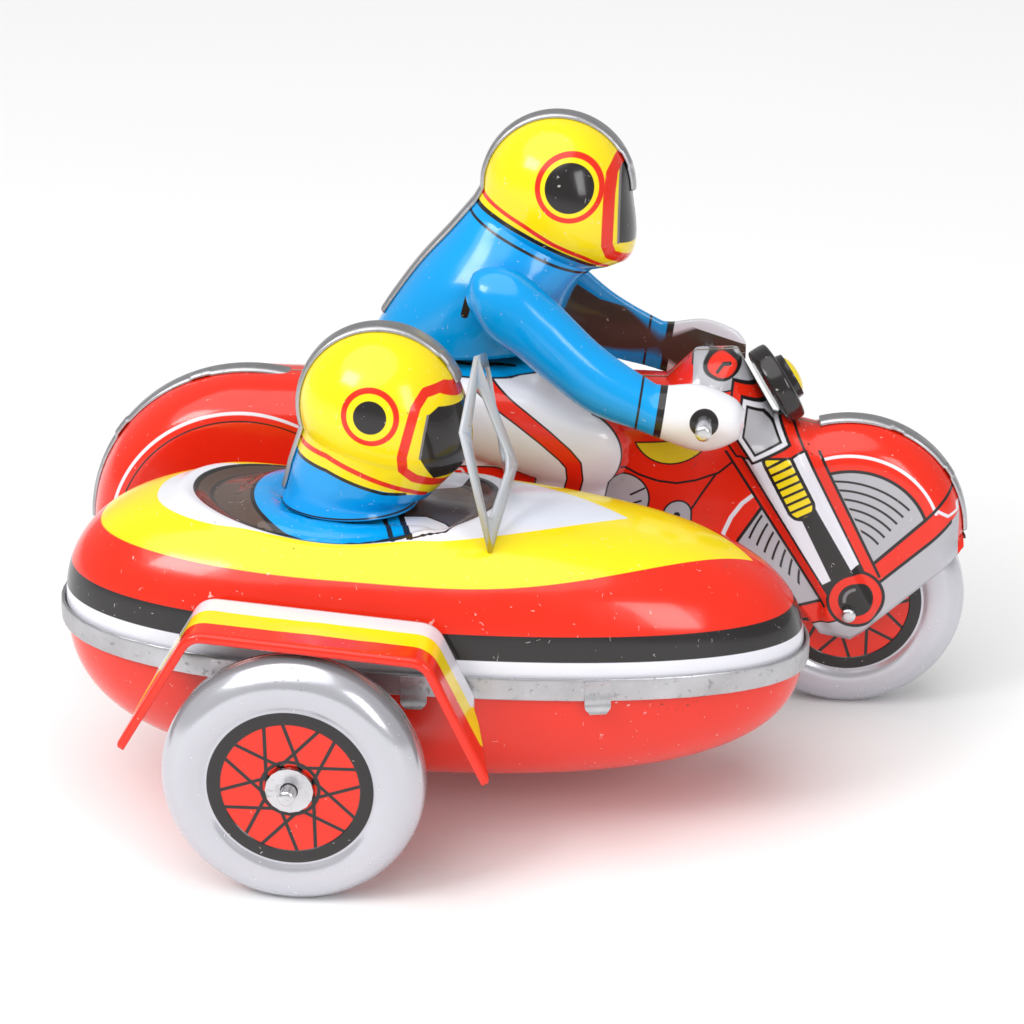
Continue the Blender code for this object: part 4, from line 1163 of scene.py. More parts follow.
def print_steering_head(art, press):
    black, white, red = ink("black"), ink("white"), ink("red")
    x = art.x
    z = art.z
    corners = [(84.0, 59.8), (88.8, 61.8), (87.2, 64.8), (85.2, 67.2), (82.2, 68.8), (81.6, 63.4)]
    window = art.facet(corners)
    arch = (window - 3.6).most(59.0 - z)
    press.lay(black, arch - 0.5)
    press.lay(red, arch)
    press.lay(black, (window - 1.9).most(57.0 - z))
    press.lay(white, (window - 1.3).most(57.4 - z))
    press.lay(black, window - 0.5)
    press.lay(ink("grey"), window)
    head = art.facet([(70.6, 73.2), (92.0, 73.2), (92.0, 82.0), (70.6, 82.0)])
    head = head.least((-art.beyond((80.0, 73.6), (92.0, 61.6))).most(x - 90.0)).most(4.2 - window)
    press.lay(black, head - 0.35)
    press.lay(ink("grey"), head)
    dial_place = art.finish.vector("SUBTRACT", art.point, art.spot((76.6, 77.3)))
    dial_place = art.finish.vector("MULTIPLY", dial_place, (1 / 4.0, 1.0, 1 / 2.3))
    dial = (art.finish.vector("LENGTH", dial_place, output=1) - 1.0) * 2.0
    press.outlined(red, dial, 0.5)
    press.line(black, [(75.6, 76.4), (76.8, 77.6), (78.2, 77.7)], 0.3)
    press.lay(red, art.facet([(63.0, 71.6), (70.6, 71.6), (70.6, 77.0), (63.0, 77.0)]).most(72.3 - z))


def print_axle_boss(art, press):
    centre = (106.1, 27.7)
    disc = art.disc(centre, 6.2)
    press.lay(ink("black"), disc)
    press.lay(ink("red"), art.ring(centre, 4.6, 0.9))
    # A grey arc on the boss's upper left: a painted highlight.
    press.line(srgb(120, 118, 122), arc(centre, 2.4, 100, 190, 4), 0.35)


def print_behind_fork(art, press):
    black, white, grey = ink("black"), ink("white"), ink("grey")
    press.line(white, [(77.4, 38.0), (78.0, 41.6), (79.4, 45.0), (81.6, 48.2), (84.6, 50.8)], 0.45)
    left_of_fork = art.beyond((98.3, 30.0), (80.5, 58.0))
    fan = (-left_of_fork).most(art.beyond((81.3, 41.0), (86.0, 48.6)))
    fan = fan.most(art.disc((93.0, 37.0), 14.0))
    press.outlined(grey, fan, 0.7)
    reach = art.reach((108.0, 32.0))
    strokes = comb(art.finish, reach, 14.0, 2.0, 0.25).most(13.4 - reach).most(reach - 26.4)
    strokes = strokes.most(-art.beyond((82.6, 41.0), (96.0, 28.5)))
    strokes = strokes.most(art.beyond((86.0, 45.5), (94.3, 33.3)))
    press.lay(black, strokes.most(fan))
    low = art.beyond((93.8, 25.3), (99.5, 27.0))
    hem = art.beyond((95.5, 20.6), (101.5, 22.4))
    side = art.disc((98.0, 24.0), 5.2)
    press.lay(black, (-hem).most(low - 0.3).most(side))
    press.lay(ink("red"), (0.4 - hem).most(low + 0.4).most(side))
    press.lay(srgb(178, 178, 184), hem.most(side))


def print_engine(art, press):
    black = ink("black")
    z = art.z
    half = art.disc((67.0, 66.0), 8.6).most(z - 62.8)
    press.outlined(srgb(222, 202, 40), half, 0.35)
    swoop = [(56.6, 57.5), (60.0, 55.6), (64.0, 54.0), (68.0, 53.2), (72.0, 53.6)]
    swoop += [(76.5, 55.0), (80.0, 58.0)]
    press.line(black, swoop, 0.25)
    press.line(black, [(71.0, 47.0), (73.5, 51.0), (76.0, 54.8)], 0.25)
    disc = art.disc((56.5, 50.0), 6.0)
    press.outlined(ink("grey"), disc, 0.4)
    press.line(black, [(58.5, 51.0), (61.3, 52.4)], 0.22)
    press.line(black, [(57.6, 48.6), (60.6, 49.6)], 0.22)
    capsule = art.segment((68.2, 46.3), (68.2, 42.0)) - 3.1
    press.outlined(ink("grey"), capsule, 0.4)
    press.lay(black, art.disc((68.1, 46.0), 0.7))
    fins = comb(art.finish, z - 0.04 * art.x, 24.0, 2.4, 0.3)
    block = art.facet([(60.0, 26.0), (76.0, 26.0), (76.0, 37.6), (60.0, 37.6)])
    press.lay(black, fins.most(block))


def print_leg(art, press):
    black = ink("black")
    z = art.z
    leg = (art.segment(*THIGH) - 8.7).least(art.segment(*SHIN) - 7.6)
    leg = leg.least(art.facet([(16.0, 56.0), (50.0, 56.0), (52.0, 67.0), (44.0, 76.5), (16.0, 77.0)]))
    press.outlined(srgb(226, 226, 234), leg, 0.35)
    stripe = [(27.5, 75.2), (32.0, 71.6), (36.0, 68.6), (41.0, 64.6), (45.0, 61.0), (46.8, 58.8)]
    stripe += [(47.1, 55.5), (43.5, 40.0)]
    press.line(black, stripe, 1.8)
    press.line(ink("red"), stripe, 1.45)
    press.lay(black, leg.most(z - 31.0))
    press.line(ink("grey"), [(34.0, 31.0), (50.0, 31.6)], 0.35)
    waist = art.facet([(4.0, 76.8), (33.5, 75.6), (40.0, 76.4), (40.0, 90.0), (4.0, 90.0)])
    press.lay(black, waist - 0.25)
    press.lay(ink("blue"), waist)
    press.line(black, [(14.0, 77.9), (34.0, 76.9)], 0.16)


def print_tail(art, press):
    white = ink("white")
    centre = REAR_FENDER_CENTRE
    x = art.x
    z = art.z
    edge = art.ring(centre, REAR_FENDER_RADIUS - 5.6, 0.32).most(z - 77.0).most(x - 8.0)
    press.lay(white, edge.most(40.0 - z))
    inner = art.ring(centre, REAR_FENDER_RADIUS - 7.2, 0.16).most(40.0 - z).most(x - 8.0)
    press.lay(ink("black"), inner)


def print_lower_side(art, press):
    """The exhaust pipe, the silencer and the lines of the frame, low on the motorcycle's side."""
    black, grey, white = ink("black"), ink("grey"), ink("white")
    x = art.x
    z = art.z
    pipe = art.line([(58.0, 38.0), (50.0, 27.0), (18.0, 25.4)], 2.3)
    press.outlined(grey, pipe, 0.4)
    silencer = art.segment((12.0, 25.4), (-34.0, 28.6)) - 3.4
    press.outlined(grey, silencer, 0.4)
    press.line(white, [(11.0, 27.0), (-33.0, 30.2)], 0.35)
    press.lay(black, comb(art.finish, x, 12.0, 15.0, 0.2).most(silencer))
    bag = art.facet([(4.0, 40.0), (26.0, 38.0), (26.0, 54.0), (24.0, 57.0), (4.0, 57.0)])
    press.lay(black, abs(bag) - 0.35)
    press.lay(white, abs(bag + 1.5) - 0.25)
    press.lay(white, (abs(z - 21.6) - 0.3).most(-40.0 - x).most(x - 84.0))
    arch = art.ring((REAR_AXLE[0], AXLE_Z), 29.0, 0.3).most(27.0 - z)
    press.lay(black, arch.most(x - 6.0))


def motorcycle_print(name, prints):
    """One end of the motorcycle's sides. The engine's print crosses the border, so both ends have it."""
    finish = Finish(name)
    art = Artwork(finish, "xz")
    press = Print(art, ink("red"))
    for lay_print in prints:
        lay_print(art, press)
    return finish.printed_tin(press.colour, shift=2.0)


REAR_PRINTS = (print_tail, print_lower_side, print_engine, print_leg)
FRONT_PRINTS = (
    print_front_fender,
    print_behind_fork,
    print_engine,
    print_fork,
    print_steering_head,
    print_axle_boss,
)


def print_ear(art, press, centre, black_radius, ring_middle, ring_half):
    press.lay(ink("red"), art.ring(centre, ring_middle, ring_half))
    press.lay(ink("black"), art.disc(centre, black_radius))


def print_visor(art, press, frame, half_width, glass):
    press.lay(ink("black"), art.facet(glass))
    press.line(srgb(120, 116, 118), [glass[0], glass[-1]], 0.22)
    press.line(ink("red"), frame, half_width)


def rider_print():
    finish = Finish("printed_rider")
    art = Artwork(finish, "xz")
    press = Print(art, ink("blue"))
    press.lay(ink("yellow"), -art.beyond((25.5, 110.3), (50.5, 98.5)))
    edge = [(24.6, 110.8), (30.0, 108.6), (36.0, 105.9), (42.0, 103.0), (46.0, 101.0), (50.0, 98.8)]
    press.line(ink("black"), edge, 0.5)
    collar = [(23.6, 108.8), (30.0, 105.5), (36.0, 102.5), (42.0, 99.3), (49.0, 95.8)]
    press.line(ink("black"), collar, 0.28)
    red_line = [(27.0, 112.3), (36.0, 108.0), (42.0, 104.4), (48.0, 101.4), (52.5, 98.3)]
    press.line(ink("red"), red_line, 0.45)
    print_ear(art, press, (45.2, 116.2), 4.9, 6.35, 0.55)
    frame_line = [(57.0, 120.4), (54.6, 120.4), (53.4, 118.4), (53.0, 114.0)]
    frame_line += [(52.7, 104.0), (53.4, 101.6), (56.6, 99.4)]
    glass = [(54.9, 104.0), (61.0, 102.0), (61.0, 121.0), (55.0, 119.2)]
    print_visor(art, press, frame_line, 1.15, glass)
    press.line(ink("black"), [(24.3, 90.0), (25.2, 93.6), (26.6, 96.2)], 0.8)
    return finish.printed_tin(press.colour, shift=12.0, wear=1.25)


def passenger_print():
    finish = Finish("printed_passenger")
    art = Artwork(finish, "xz")
    press = Print(art, ink("blue"))
    over_back = -art.beyond((-4.2, 73.6), (8.0, 70.2))
    over_front = -art.beyond((8.0, 70.2), (18.0, 67.2))
    press.lay(ink("yellow"), over_back.least(over_front))
    edge = [(-4.2, 73.3), (2.0, 72.2), (8.0, 70.0), (13.0, 68.2), (17.0, 67.6)]
    press.line(ink("black"), edge, 0.35)
    red_line = [(-3.5, 75.8), (2.0, 75.0), (8.0, 72.6), (14.0, 70.0), (18.0, 68.2), (20.5, 66.6)]
    press.line(ink("red"), red_line, 0.5)
    print_ear(art, press, (11.1, 84.4), 3.2, 5.05, 0.55)
    frame_line = [(28.0, 86.0), (24.0, 88.6), (21.2, 88.4), (19.6, 86.0), (18.4, 81.6)]
    frame_line += [(17.0, 76.4), (17.0, 73.4), (19.0, 71.2), (21.6, 69.8), (24.0, 68.6)]
    glass = [(20.3, 75.8), (22.4, 70.4), (28.5, 70.0), (29.0, 84.0), (23.6, 85.4), (21.8, 84.2)]
    print_visor(art, press, frame_line, 0.95, glass)
    # A thin black line along the figure's foot: painted shade where the passenger meets the hull.
    press.line(ink("black"), [(-9.0, 62.9), (19.0, 62.8)], 0.16)
    return finish.printed_tin(press.colour, shift=22.0)


def arm_print():
    finish = Finish("printed_arm")
    art = Artwork(finish, "xz")
    press = Print(art, ink("blue"))
    press.lay(srgb(226, 226, 232), art.beyond((65.2, 77.8), (63.7, 66.8)) * -1.0)
    press.lay(ink("black"), abs(art.beyond((65.2, 77.8), (63.7, 66.8))) - 0.75)
    press.lay(ink("black"), abs(art.beyond((60.9, 79.0), (59.4, 68.0))) - 0.25)
    # A black disc round the handlebar: painted shade standing in for the dark hole that the bar passes
    # through.
    press.lay(ink("black"), art.disc(HANDLEBAR, 2.9))
    x = finish.apart(0)
    within = abs(finish.apart(1)) - (x - 36.0).most(0.0) * 0.112 - 15.9
    low = art.beyond((28.0, 99.0), (50.0, 83.6)).least(art.beyond((50.0, 83.6), (80.0, 73.6)))
    press.lay(srgb(78, 62, 54), within.most(low))
    return finish.printed_tin(press.colour, shift=32.0)


def hull_share(finish):
    """0 in the middle of the hull and 1 at its seam, seen from above."""
    x = finish.apart(0)
    y = finish.apart(1)
    ahead = ((x - SIDECAR_CENTRE_X) * (1 / (SIDECAR_NOSE_X - SIDECAR_CENTRE_X))).most(
        (SIDECAR_CENTRE_X - x) * (1 / (SIDECAR_CENTRE_X - SIDECAR_TAIL_X))
    )
    aside = abs(y - SIDECAR_MIDDLE_Y) * (1 / SIDECAR_HALF_WIDTH)
    return (ahead**NOSE_POWER + aside**NOSE_POWER) ** (1 / NOSE_POWER)


def height_over_seam(finish):
    slope = (SEAM_NOSE_Z - SEAM_TAIL_Z) / (SIDECAR_NOSE_X - SIDECAR_TAIL_X)
    return finish.apart(2) - finish.apart(0) * slope - (SEAM_TAIL_Z - SIDECAR_TAIL_X * slope)


def print_cockpit(art, press):
    """The seat well, with the passenger's printed arms and hands, painted shadow round the raised arms and
    painted shade in the groove at the well's foot.
    """
    finish = art.finish
    place = finish.vector("SUBTRACT", art.point, (DISH_CENTRE[0], DISH_CENTRE[1], 0.0))
    flat = finish.vector("MULTIPLY", place, (1 / DISH_HALF_LENGTH, 1 / DISH_HALF_WIDTH, 0.0))
    dish = finish.vector("LENGTH", flat, output=1)
    rim = (dish - 0.955) * 24.0
    press.lay(ink("black"), rim - 0.5)
    press.lay(srgb(88, 70, 62), rim + 0.3)
    # A darker ring where the well's floor meets its wall: painted shade in that groove.
    press.lay(srgb(58, 50, 48), abs(dish - 0.86) * 24.0 - 0.35)
    aside = abs(finish.apart(1) - DISH_CENTRE[1])
    half = Artwork(finish, "xy")
    half.point = finish.node("ShaderNodeCombineXYZ", None, {0: finish.apart(0), 1: aside, 2: 0.0})
    behind = (3.0 - finish.apart(0)).most(0.0) * (1 / 17.0)
    out = aside * (1 / 20.6)
    cuff = -half.beyond((15.8, 8.0), (19.0, 19.8))
    body = (finish.maths("SQRT", behind * behind + out * out) - 1.0) * 18.0
    body = body.most(rim + 1.0).most(cuff)
    # A dark band just outside the blue figure: painted shadow under and round the raised arms.
    press.lay(srgb(34, 26, 26), body.most(cuff) - 0.8)
    press.lay(ink("blue"), body)
    sleeve = [(-8.5, 3.0), (-6.0, 8.5), (0.0, 12.8), (6.0, 14.0), (15.0, 12.0)]
    press.lay(ink("black"), half.line(sleeve, 0.22))
    hand = half.facet([(15.6, 8.2), (20.6, 7.4), (24.6, 10.0), (27.1, 13.7), (25.4, 17.2), (18.6, 19.8)])
    press.lay(ink("black"), hand - 0.4)
    press.lay(ink("white"), hand + 0.1)
    press.lay(ink("black"), half.line([(12.6, 9.4), (15.7, 20.4)], 0.5))
    press.lay(ink("black"), half.line([(15.8, 8.0), (19.0, 19.8)], 0.5))


def leaf(finish, share, wide, tip, power):
    """A leaf that follows the hull's outline at the back and comes to a point at the front."""
    x = finish.apart(0)
    aside = abs(finish.apart(1) - SIDECAR_MIDDLE_Y) * (1 / SIDECAR_HALF_WIDTH)
    ahead = ((x - SIDECAR_CENTRE_X) * (1 / (tip - SIDECAR_CENTRE_X))).most(0.0)
    front = aside - (1.0 - ahead**power) * wide
    back = share - wide
    use_front = finish.above(x, SIDECAR_CENTRE_X, 0.1)
    return (back * (1.0 - use_front) + front * use_front) * 30.0


def hull_print():
    finish = Finish("printed_hull_top")
    share = hull_share(finish)
    height = height_over_seam(finish)
    art = Artwork(finish, "xy")
    press = Print(art, ink("white"))
    press.lay(ink("yellow"), -leaf(finish, share, 0.665, 59.5, 2.2))
    press.lay(ink("red"), -leaf(finish, share, 0.865, 84.0, 3.0))
    press.lay(ink("black"), height - 10.2)
    press.lay(ink("white"), height - 5.2)
    print_cockpit(art, press)
    return finish.printed_tin(press.colour, shift=42.0)


def wheel_print(name, centre, shift):
    finish = Finish(name)
    black = ink("black")
    dx = finish.apart(0) - centre[0]
    dz = finish.apart(2) - centre[1]
    art = Artwork(finish, "xz")
    reach = art.reach(centre)
    turn = finish.maths("ARCTAN2", dz, dx)
    press = Print(art, ink("red"))
    for offset, normal, way in ((4.35, 78.4, -1), (3.2, -83.7, 1)):
        lean = finish.maths("ARCCOSINE", (offset / reach.most(offset + 0.01)))
        aim = turn - lean * way - math.radians(12.0 + normal)
        wrapped = finish.maths("FRACT", aim * (4 / math.pi) + 0.5)
        span = finish.maths("SQRT", (reach * reach - offset * offset).most(0.0))
        gap = abs(wrapped - 0.5) * (math.pi / 4) * span - 0.35
        press.lay(black, gap.most(offset + 0.2 - reach))
    press.lay(black, 13.0 - reach)
    tyre = 15.6 - reach
    press.lay(ink("tyre"), tyre)
    press.lay(black, art.ring(centre, 5.4, 0.35))
    return finish.printed_tin(press.colour, shift=shift, wear=0.9, silver=finish.inside(tyre) * 0.6)


def fender_print():
    finish = Finish("printed_fender")
    y = finish.apart(1)
    z = finish.apart(2)
    wave = (finish.noise(9.0, 1.0) - 0.5) * 0.8
    press = Print(Artwork(finish, "xz"), ink("red"))
    yellow = (-89.3 - y + wave).most(28.6 - z + abs(y + 86.6) * 0.9)
    press.lay(ink("yellow"), yellow)
    white = (-83.9 - y + wave).most(34.6 - z - (y + 81.0) * 0.5)
    press.lay(ink("white"), white)
    return finish.printed_tin(press.colour, shift=62.0)


# ---------------------------------------------------------------- plain finishes


ROLLED_GRAIN = (9.0, 9.0, 0.5)
METAL_DENT_DEPTH = 0.12


def bare_metal(name, light, dark, size, rough, shift, tarnish):
    """Worn bare metal: rolled grain, tarnish in patches, fine scratches and small dents."""
    finish = Finish(name)
    wear = settings().wear
    cloud = finish.noise(size, 4.0, shift=shift)
    streak = finish.noise(0.5, 3.0, stretch=ROLLED_GRAIN, shift=shift + 3.0)
    spots = finish.above(finish.noise(1.6, 4.0, shift=shift + 5.0, roughness=0.7), 0.66 - 0.04 * wear, 0.08)
    marks = finish.scratches(shift + 9.0, (1.0, 5.0, 1.0), 1.6, 0.02, 0.6)
    shade = finish.maths("MULTIPLY_ADD", cloud, 1.6, -0.35, clamp=True)
    colour = finish.mix(light, dark, shade * tarnish)
    colour = finish.mix(colour, tuple(0.45 * part for part in dark), spots * (0.7 * tarnish))
    colour = finish.mix(colour, tuple(min(1.0, 1.15 * part) for part in light), marks * 0.6)
    roughness = rough + shade * 0.16 + spots * 0.2 + streak * 0.08
    height = finish.noise(6.0, 1.0, shift=shift + 13.0) + streak * 0.05 - spots * 0.06 - marks * 0.04
    return finish.finish(colour, roughness, 1.0 - spots * 0.35, None, height, METAL_DENT_DEPTH)


def windscreen_paint():
    """Silver paint, rubbed where the wings meet the hull."""
    finish = Finish("silver_white_paint")
    art = Artwork(finish, "xy")
    press = Print(art, srgb(186, 190, 196))
    foot = art.disc((WINDSCREEN_FOOT[0], SIDECAR_MIDDLE_Y - WINDSCREEN_FOOT[1]), 1.6)
    press.lay(srgb(196, 176, 60), foot + finish.noise(1.2, 2.0) * 1.4)
    return finish.printed_tin(press.colour, shift=132.0, wear=1.5)


# Each metal is its light and dark colour, the size of its clouds, its roughness and its tarnish.
METALS = {
    "tin": ("bare_tinplate", (196, 196, 200), (128, 124, 120), 9.0, 0.26, 1.0, 0.5),
    "inside": ("dull_inside_tin", (150, 138, 124), (84, 72, 62), 8.0, 0.42, 142.0, 0.8),
    "plated": ("plated_steel", (214, 214, 218), (150, 146, 142), 5.0, 0.16, 152.0, 0.35),
    "clock": ("oiled_clock_steel", (146, 146, 150), (84, 80, 78), 5.0, 0.3, 162.0, 0.6),
    "brass": ("stamped_brass", (206, 170, 92), (140, 106, 50), 6.0, 0.28, 172.0, 0.6),
}


def make_finishes():
    """Every finish of the toy, by name."""
    metals = {
        key: bare_metal(name, srgb(*light), srgb(*dark), *rest)
        for key, (name, light, dark, *rest) in METALS.items()
    }
    return metals | {
        "motorcycle_rear": motorcycle_print("printed_motorcycle_rear", REAR_PRINTS),
        "motorcycle_front": motorcycle_print("printed_motorcycle_front", FRONT_PRINTS),
        "rider": rider_print(),
        "passenger": passenger_print(),
        "arm": arm_print(),
        "hull": hull_print(),
        "front": wheel_print("printed_front_wheel", FRONT_AXLE, 72.0),
        "rear": wheel_print("printed_rear_wheel", REAR_AXLE, 82.0),
        "sidecar": wheel_print("printed_sidecar_wheel", SIDECAR_AXLE, 92.0),
        "fender": fender_print(),
        "red": Finish("red_lacquer").printed_tin(ink("red"), shift=102.0),
        "black": Finish("black_lacquer").printed_tin(ink("black"), shift=112.0, wear=1.2),
        "lens": Finish("yellow_lens").printed_tin(ink("yellow"), shift=122.0, wear=1.2),
        "silver": windscreen_paint(),
    }


# ---------------------------------------------------------------- settings


def colour_property(name, description, value):
    return bpy.props.FloatVectorProperty(
        name=name, description=description, subtype="COLOR", size=3, min=0.0, max=1.0, default=value
    )


class TinToySettings(bpy.types.PropertyGroup):
    """Colours and sizes of the toy."""

    red: colour_property("Red", "Red printing ink", srgb(229, 42, 20))
    yellow: colour_property("Yellow", "Yellow printing ink", srgb(246, 220, 20))
    blue: colour_property("Blue", "Blue printing ink", srgb(0, 152, 224))
    white: colour_property("White", "White printing ink", srgb(226, 226, 234))
    black: colour_property("Black", "Black printing ink", srgb(34, 31, 31))
    grey: colour_property("Grey", "Silver-grey printing ink", srgb(176, 176, 182))
    tyre: colour_property("Tyre", "Printed grey of the tyres", srgb(196, 196, 203))
    wear: bpy.props.FloatProperty(
        name="Wear", description="How scratched and chipped the toy is", default=1.0, min=0.0, max=3.0,
        subtype="FACTOR",
    )
    sheet: bpy.props.FloatProperty(
        name="Sheet", description="Thickness of the pressed shells, in millimetres", default=SHEET,
        min=0.3, max=0.7,
    )
    windscreen_bar: bpy.props.FloatProperty(
        name="Windscreen Bar", description="Width of the windscreen's frame, in millimetres",
        default=2.9, min=2.0, max=5.0,
    )
    floor_size: bpy.props.FloatProperty(
        name="Floor", description="Width of the floor", default=8.0, min=2.0, subtype="DISTANCE",
        unit="LENGTH",
    )


FINISHES = {}


def finish_named(name):
    """The finishes are made once, when the first piece asks for one."""
    if not FINISHES:
        FINISHES.update(make_finishes())
    return FINISHES[name]


def coated(*names):
    return [finish_named(name) for name in names]


def refinish(node, name):
    """Gives a carried-over part a better finish."""
    slots = frame["nodes"][node].material_slots
    if not slots:
        frame["nodes"][node].data.materials.append(finish_named(name))
    for slot in slots:
        slot.material = finish_named(name)


# ---------------------------------------------------------------- operators

SIDES = (("right", -1), ("left", 1))


class TINTOY_OT_body(bpy.types.Operator):
    """Make the motorcycle's two pressed halves and their seam strips"""

    bl_idname = "tin_toy.body"
    bl_label = "Motorcycle Body"

    def execute(self, context):
        sheet_size = context.scene.tin_toy.sheet
        for name, side in SIDES:
            node = f"body_{name}_half"
            finish_piece(
                f"pressed_{node}", body_half_mesh(side), "chassis",
                coated("motorcycle_rear", "motorcycle_front", "inside", "inside"), (node,), sheet_size,
            )
        rear = arc(REAR_FENDER_CENTRE, REAR_FENDER_RADIUS, 178, 68, 60)[:-1]
        rear = [point for point in rear if point[0] < -1.0]
        front = arc(FRONT_FENDER_CENTRE, FRONT_FENDER_RADIUS, 106, 2, 60)
        for name, path, notches in (
            ("rear_fender_strip", rear, ((0.30, 0.36), (0.62, 0.68))),
            ("front_fender_strip", front, ((0.34, 0.40), (0.66, 0.72))),
        ):
            finish_piece(
                f"crimped_{name}", strip_mesh(path, STRIP_HALF_WIDTH, notches=notches), "chassis",
                coated("tin"), (name,), STRIP_THICKNESS,
            )
        return {"FINISHED"}


class TINTOY_OT_figures(bpy.types.Operator):
    """Make the rider, the passenger, the rider's arms and the figures' seam strips"""

    bl_idname = "tin_toy.figures"
    bl_label = "Figures"

    def execute(self, context):
        sheet_size = context.scene.tin_toy.sheet
        figures = (
            ("rider", rider_rows(6), 0.0, 22, coated("rider", "inside")),
            ("passenger", passenger_rows(6), SIDECAR_MIDDLE_Y, 19, coated("passenger", "inside")),
        )
        for figure, rows, middle_y, past_pole, finishes in figures:
            for name, side in SIDES:
                node = f"{figure}_{name}_half"
                finish_piece(
                    f"pressed_{node}", half_shell_mesh(rows, side, 72, middle_y), "chassis",
                    finishes, (node,), sheet_size,
                )
            strip = strip_mesh(
                back_path(rows, 6, past_pole), FIGURE_STRIP_HALF_WIDTH, middle_y, notches=((0.90, 0.94),)
            )
            finish_piece(
                f"crimped_{figure}_strip", strip, "chassis", coated("tin"),
                (f"{figure}_strip",), STRIP_THICKNESS,
            )
        for name, side in SIDES:
            rows = through_points(ARM_ROWS, 90)
            finish_piece(
                f"pressed_rider_arm_{name}", half_shell_mesh(rows, side, 72, inner_bulge=0.8), "chassis",
                coated("arm"), (f"rider_arm_{name}",),
            )
        return {"FINISHED"}


class TINTOY_OT_sidecar(bpy.types.Operator):
    """Make the sidecar's hull, its crimped band, clips, fender and windscreen"""

    bl_idname = "tin_toy.sidecar"
    bl_label = "Sidecar"

    def execute(self, context):
        chosen = context.scene.tin_toy
        pieces = (
            (
                "sidecar_upper_shell", upper_shell_mesh(), "litho_sidecar_top", ("hull", "inside"),
                chosen.sheet,
            ),
            ("sidecar_lower_shell", lower_shell_mesh(), "red_lacquer", ("red", "inside"), chosen.sheet),
            ("sidecar_band", band_mesh(), "bare_tinplate", ("tin",), None),
            ("sidecar_fender", fender_mesh(), "red_lacquer", ("fender", "inside"), FENDER_THICKNESS),
            (
                "windscreen", windscreen_mesh(chosen.windscreen_bar), "silver_white_paint", ("silver",),
                WINDSCREEN_THICKNESS,
            ),
        )
        for node, bm, slot, finishes, wall in pieces:
            finish_piece(f"pressed_{node}", bm, "chassis", coated(*finishes), (node,), wall)
        for number, degrees in enumerate(CLIP_ANGLES, 1):
            finish_piece(
                f"bent_sidecar_clip_{number}", clip_mesh(degrees), "chassis",
                coated("tin"), (f"sidecar_clip_{number}",),
            )
        return {"FINISHED"}


class TINTOY_OT_wheels(bpy.types.Operator):
    """Make the three wheels' pressed halves"""

    bl_idname = "tin_toy.wheels"
    bl_label = "Wheels"

    def execute(self, context):
        sheet_size = context.scene.tin_toy.sheet
        wheels = (
            ("front", (FRONT_AXLE[0], 0.0, AXLE_Z)),
            ("rear", (REAR_AXLE[0], 0.0, AXLE_Z)),
            ("sidecar", (SIDECAR_AXLE[0], SIDECAR_WHEEL_Y, AXLE_Z)),
        )
        for wheel, centre in wheels:
            for name, side in SIDES:
                node = f"{wheel}_wheel_{name}_half"
                finish_piece(
                    f"pressed_{node}", wheel_half_mesh(centre, side), f"{wheel}_wheel",
                    coated(wheel, "inside"), (node,), sheet_size, sharp=30.0,
                )
        return {"FINISHED"}


class TINTOY_OT_fittings(bpy.types.Operator):
    """Make the headlight, handlebar, axle ends and winding key, and finish the clockwork"""

    bl_idname = "tin_toy.fittings"
    bl_label = "Fittings"

    def execute(self, context):
        finish_piece(
            "rolled_headlight_rim", headlight_rim_mesh(), "chassis", coated("black"),
            ("headlight_rim",),
        )
        finish_piece(
            "domed_headlight_lens", headlight_lens_mesh(), "chassis", coated("lens"),
            ("headlight_lens",),
        )
        finish_piece(
            "flat_winding_key", winding_key_mesh(), "key_set", coated("plated"),
            ("winding_key",),
        )
        self.make_rods()
        self.finish_clockwork()
        return {"FINISHED"}

    def make_rods(self):
        rods = (
            ("handlebar", "chassis", HANDLEBAR_RADIUS),
            ("front_axle", "chassis", AXLE_RADIUS),
            ("rear_axle", "rear_wheel", AXLE_RADIUS),
            ("sidecar_axle", "chassis", AXLE_RADIUS),
            ("front_tie_rod", "chassis", None),
        )
        for node, body, radius in rods:
            low, high = box_in_layout(node)
            x, _, z = (low + high) / 2
            radius = radius or float(high[0] - low[0]) / 2
            rod = rounded_end_rod((x, low[1], z), (x, high[1], z), radius)
            finish_piece(f"snipped_{node}", rod, body, coated("plated"), (node,))

    def finish_clockwork(self):
        finishes = {
            "sidecar_washer": "plated",
            "motor_plate_right": "tin",
            "motor_plate_left": "tin",
            "axle_pinion": "brass",
            "second_wheel": "brass",
            "great_wheel": "brass",
        }
        steel = ("mainspring", "second_arbor", "second_pinion", "winding_arbor")
        steel += ("ratchet_wheel", "ratchet_click")
        pillars = tuple(f"motor_pillar_{number}" for number in (1, 2, 3))
        finishes.update({node: "clock" for node in steel + pillars})
        for node, name in finishes.items():
            refinish(node, name)


class TINTOY_OT_stage(bpy.types.Operator):
    """Make the floor, the lights and the camera"""

    bl_idname = "tin_toy.stage"
    bl_label = "Stage"

    def execute(self, context):
        make_floor(context)
        make_light(context)
        make_camera(context)
        return {"FINISHED"}


def make_floor(context):
    bm = bmesh.new()
    bmesh.ops.create_grid(bm, x_segments=4, y_segments=4, size=context.scene.tin_toy.floor_size / 2)
    mesh = bpy.data.meshes.new("floor")
    bm.to_mesh(mesh)
    bm.free()
    finish = Finish("pale_floor")
    tone = finish.noise(400.0, 2.0)
    colour = finish.mix(srgb(243, 243, 243), srgb(246, 246, 246), tone)
    mesh.materials.append(finish.finish(colour, 0.6 + tone * 0.05))
    floor = bpy.data.objects.new("floor", mesh)
    context.scene.collection.objects.link(floor)


WORLD_LIGHT = 0.42
WORLD_BACKDROP = 0.95
SKY_SPREAD = 70.0
LAMP_TARGET = Vector((0.0, 0.0, 0.05))


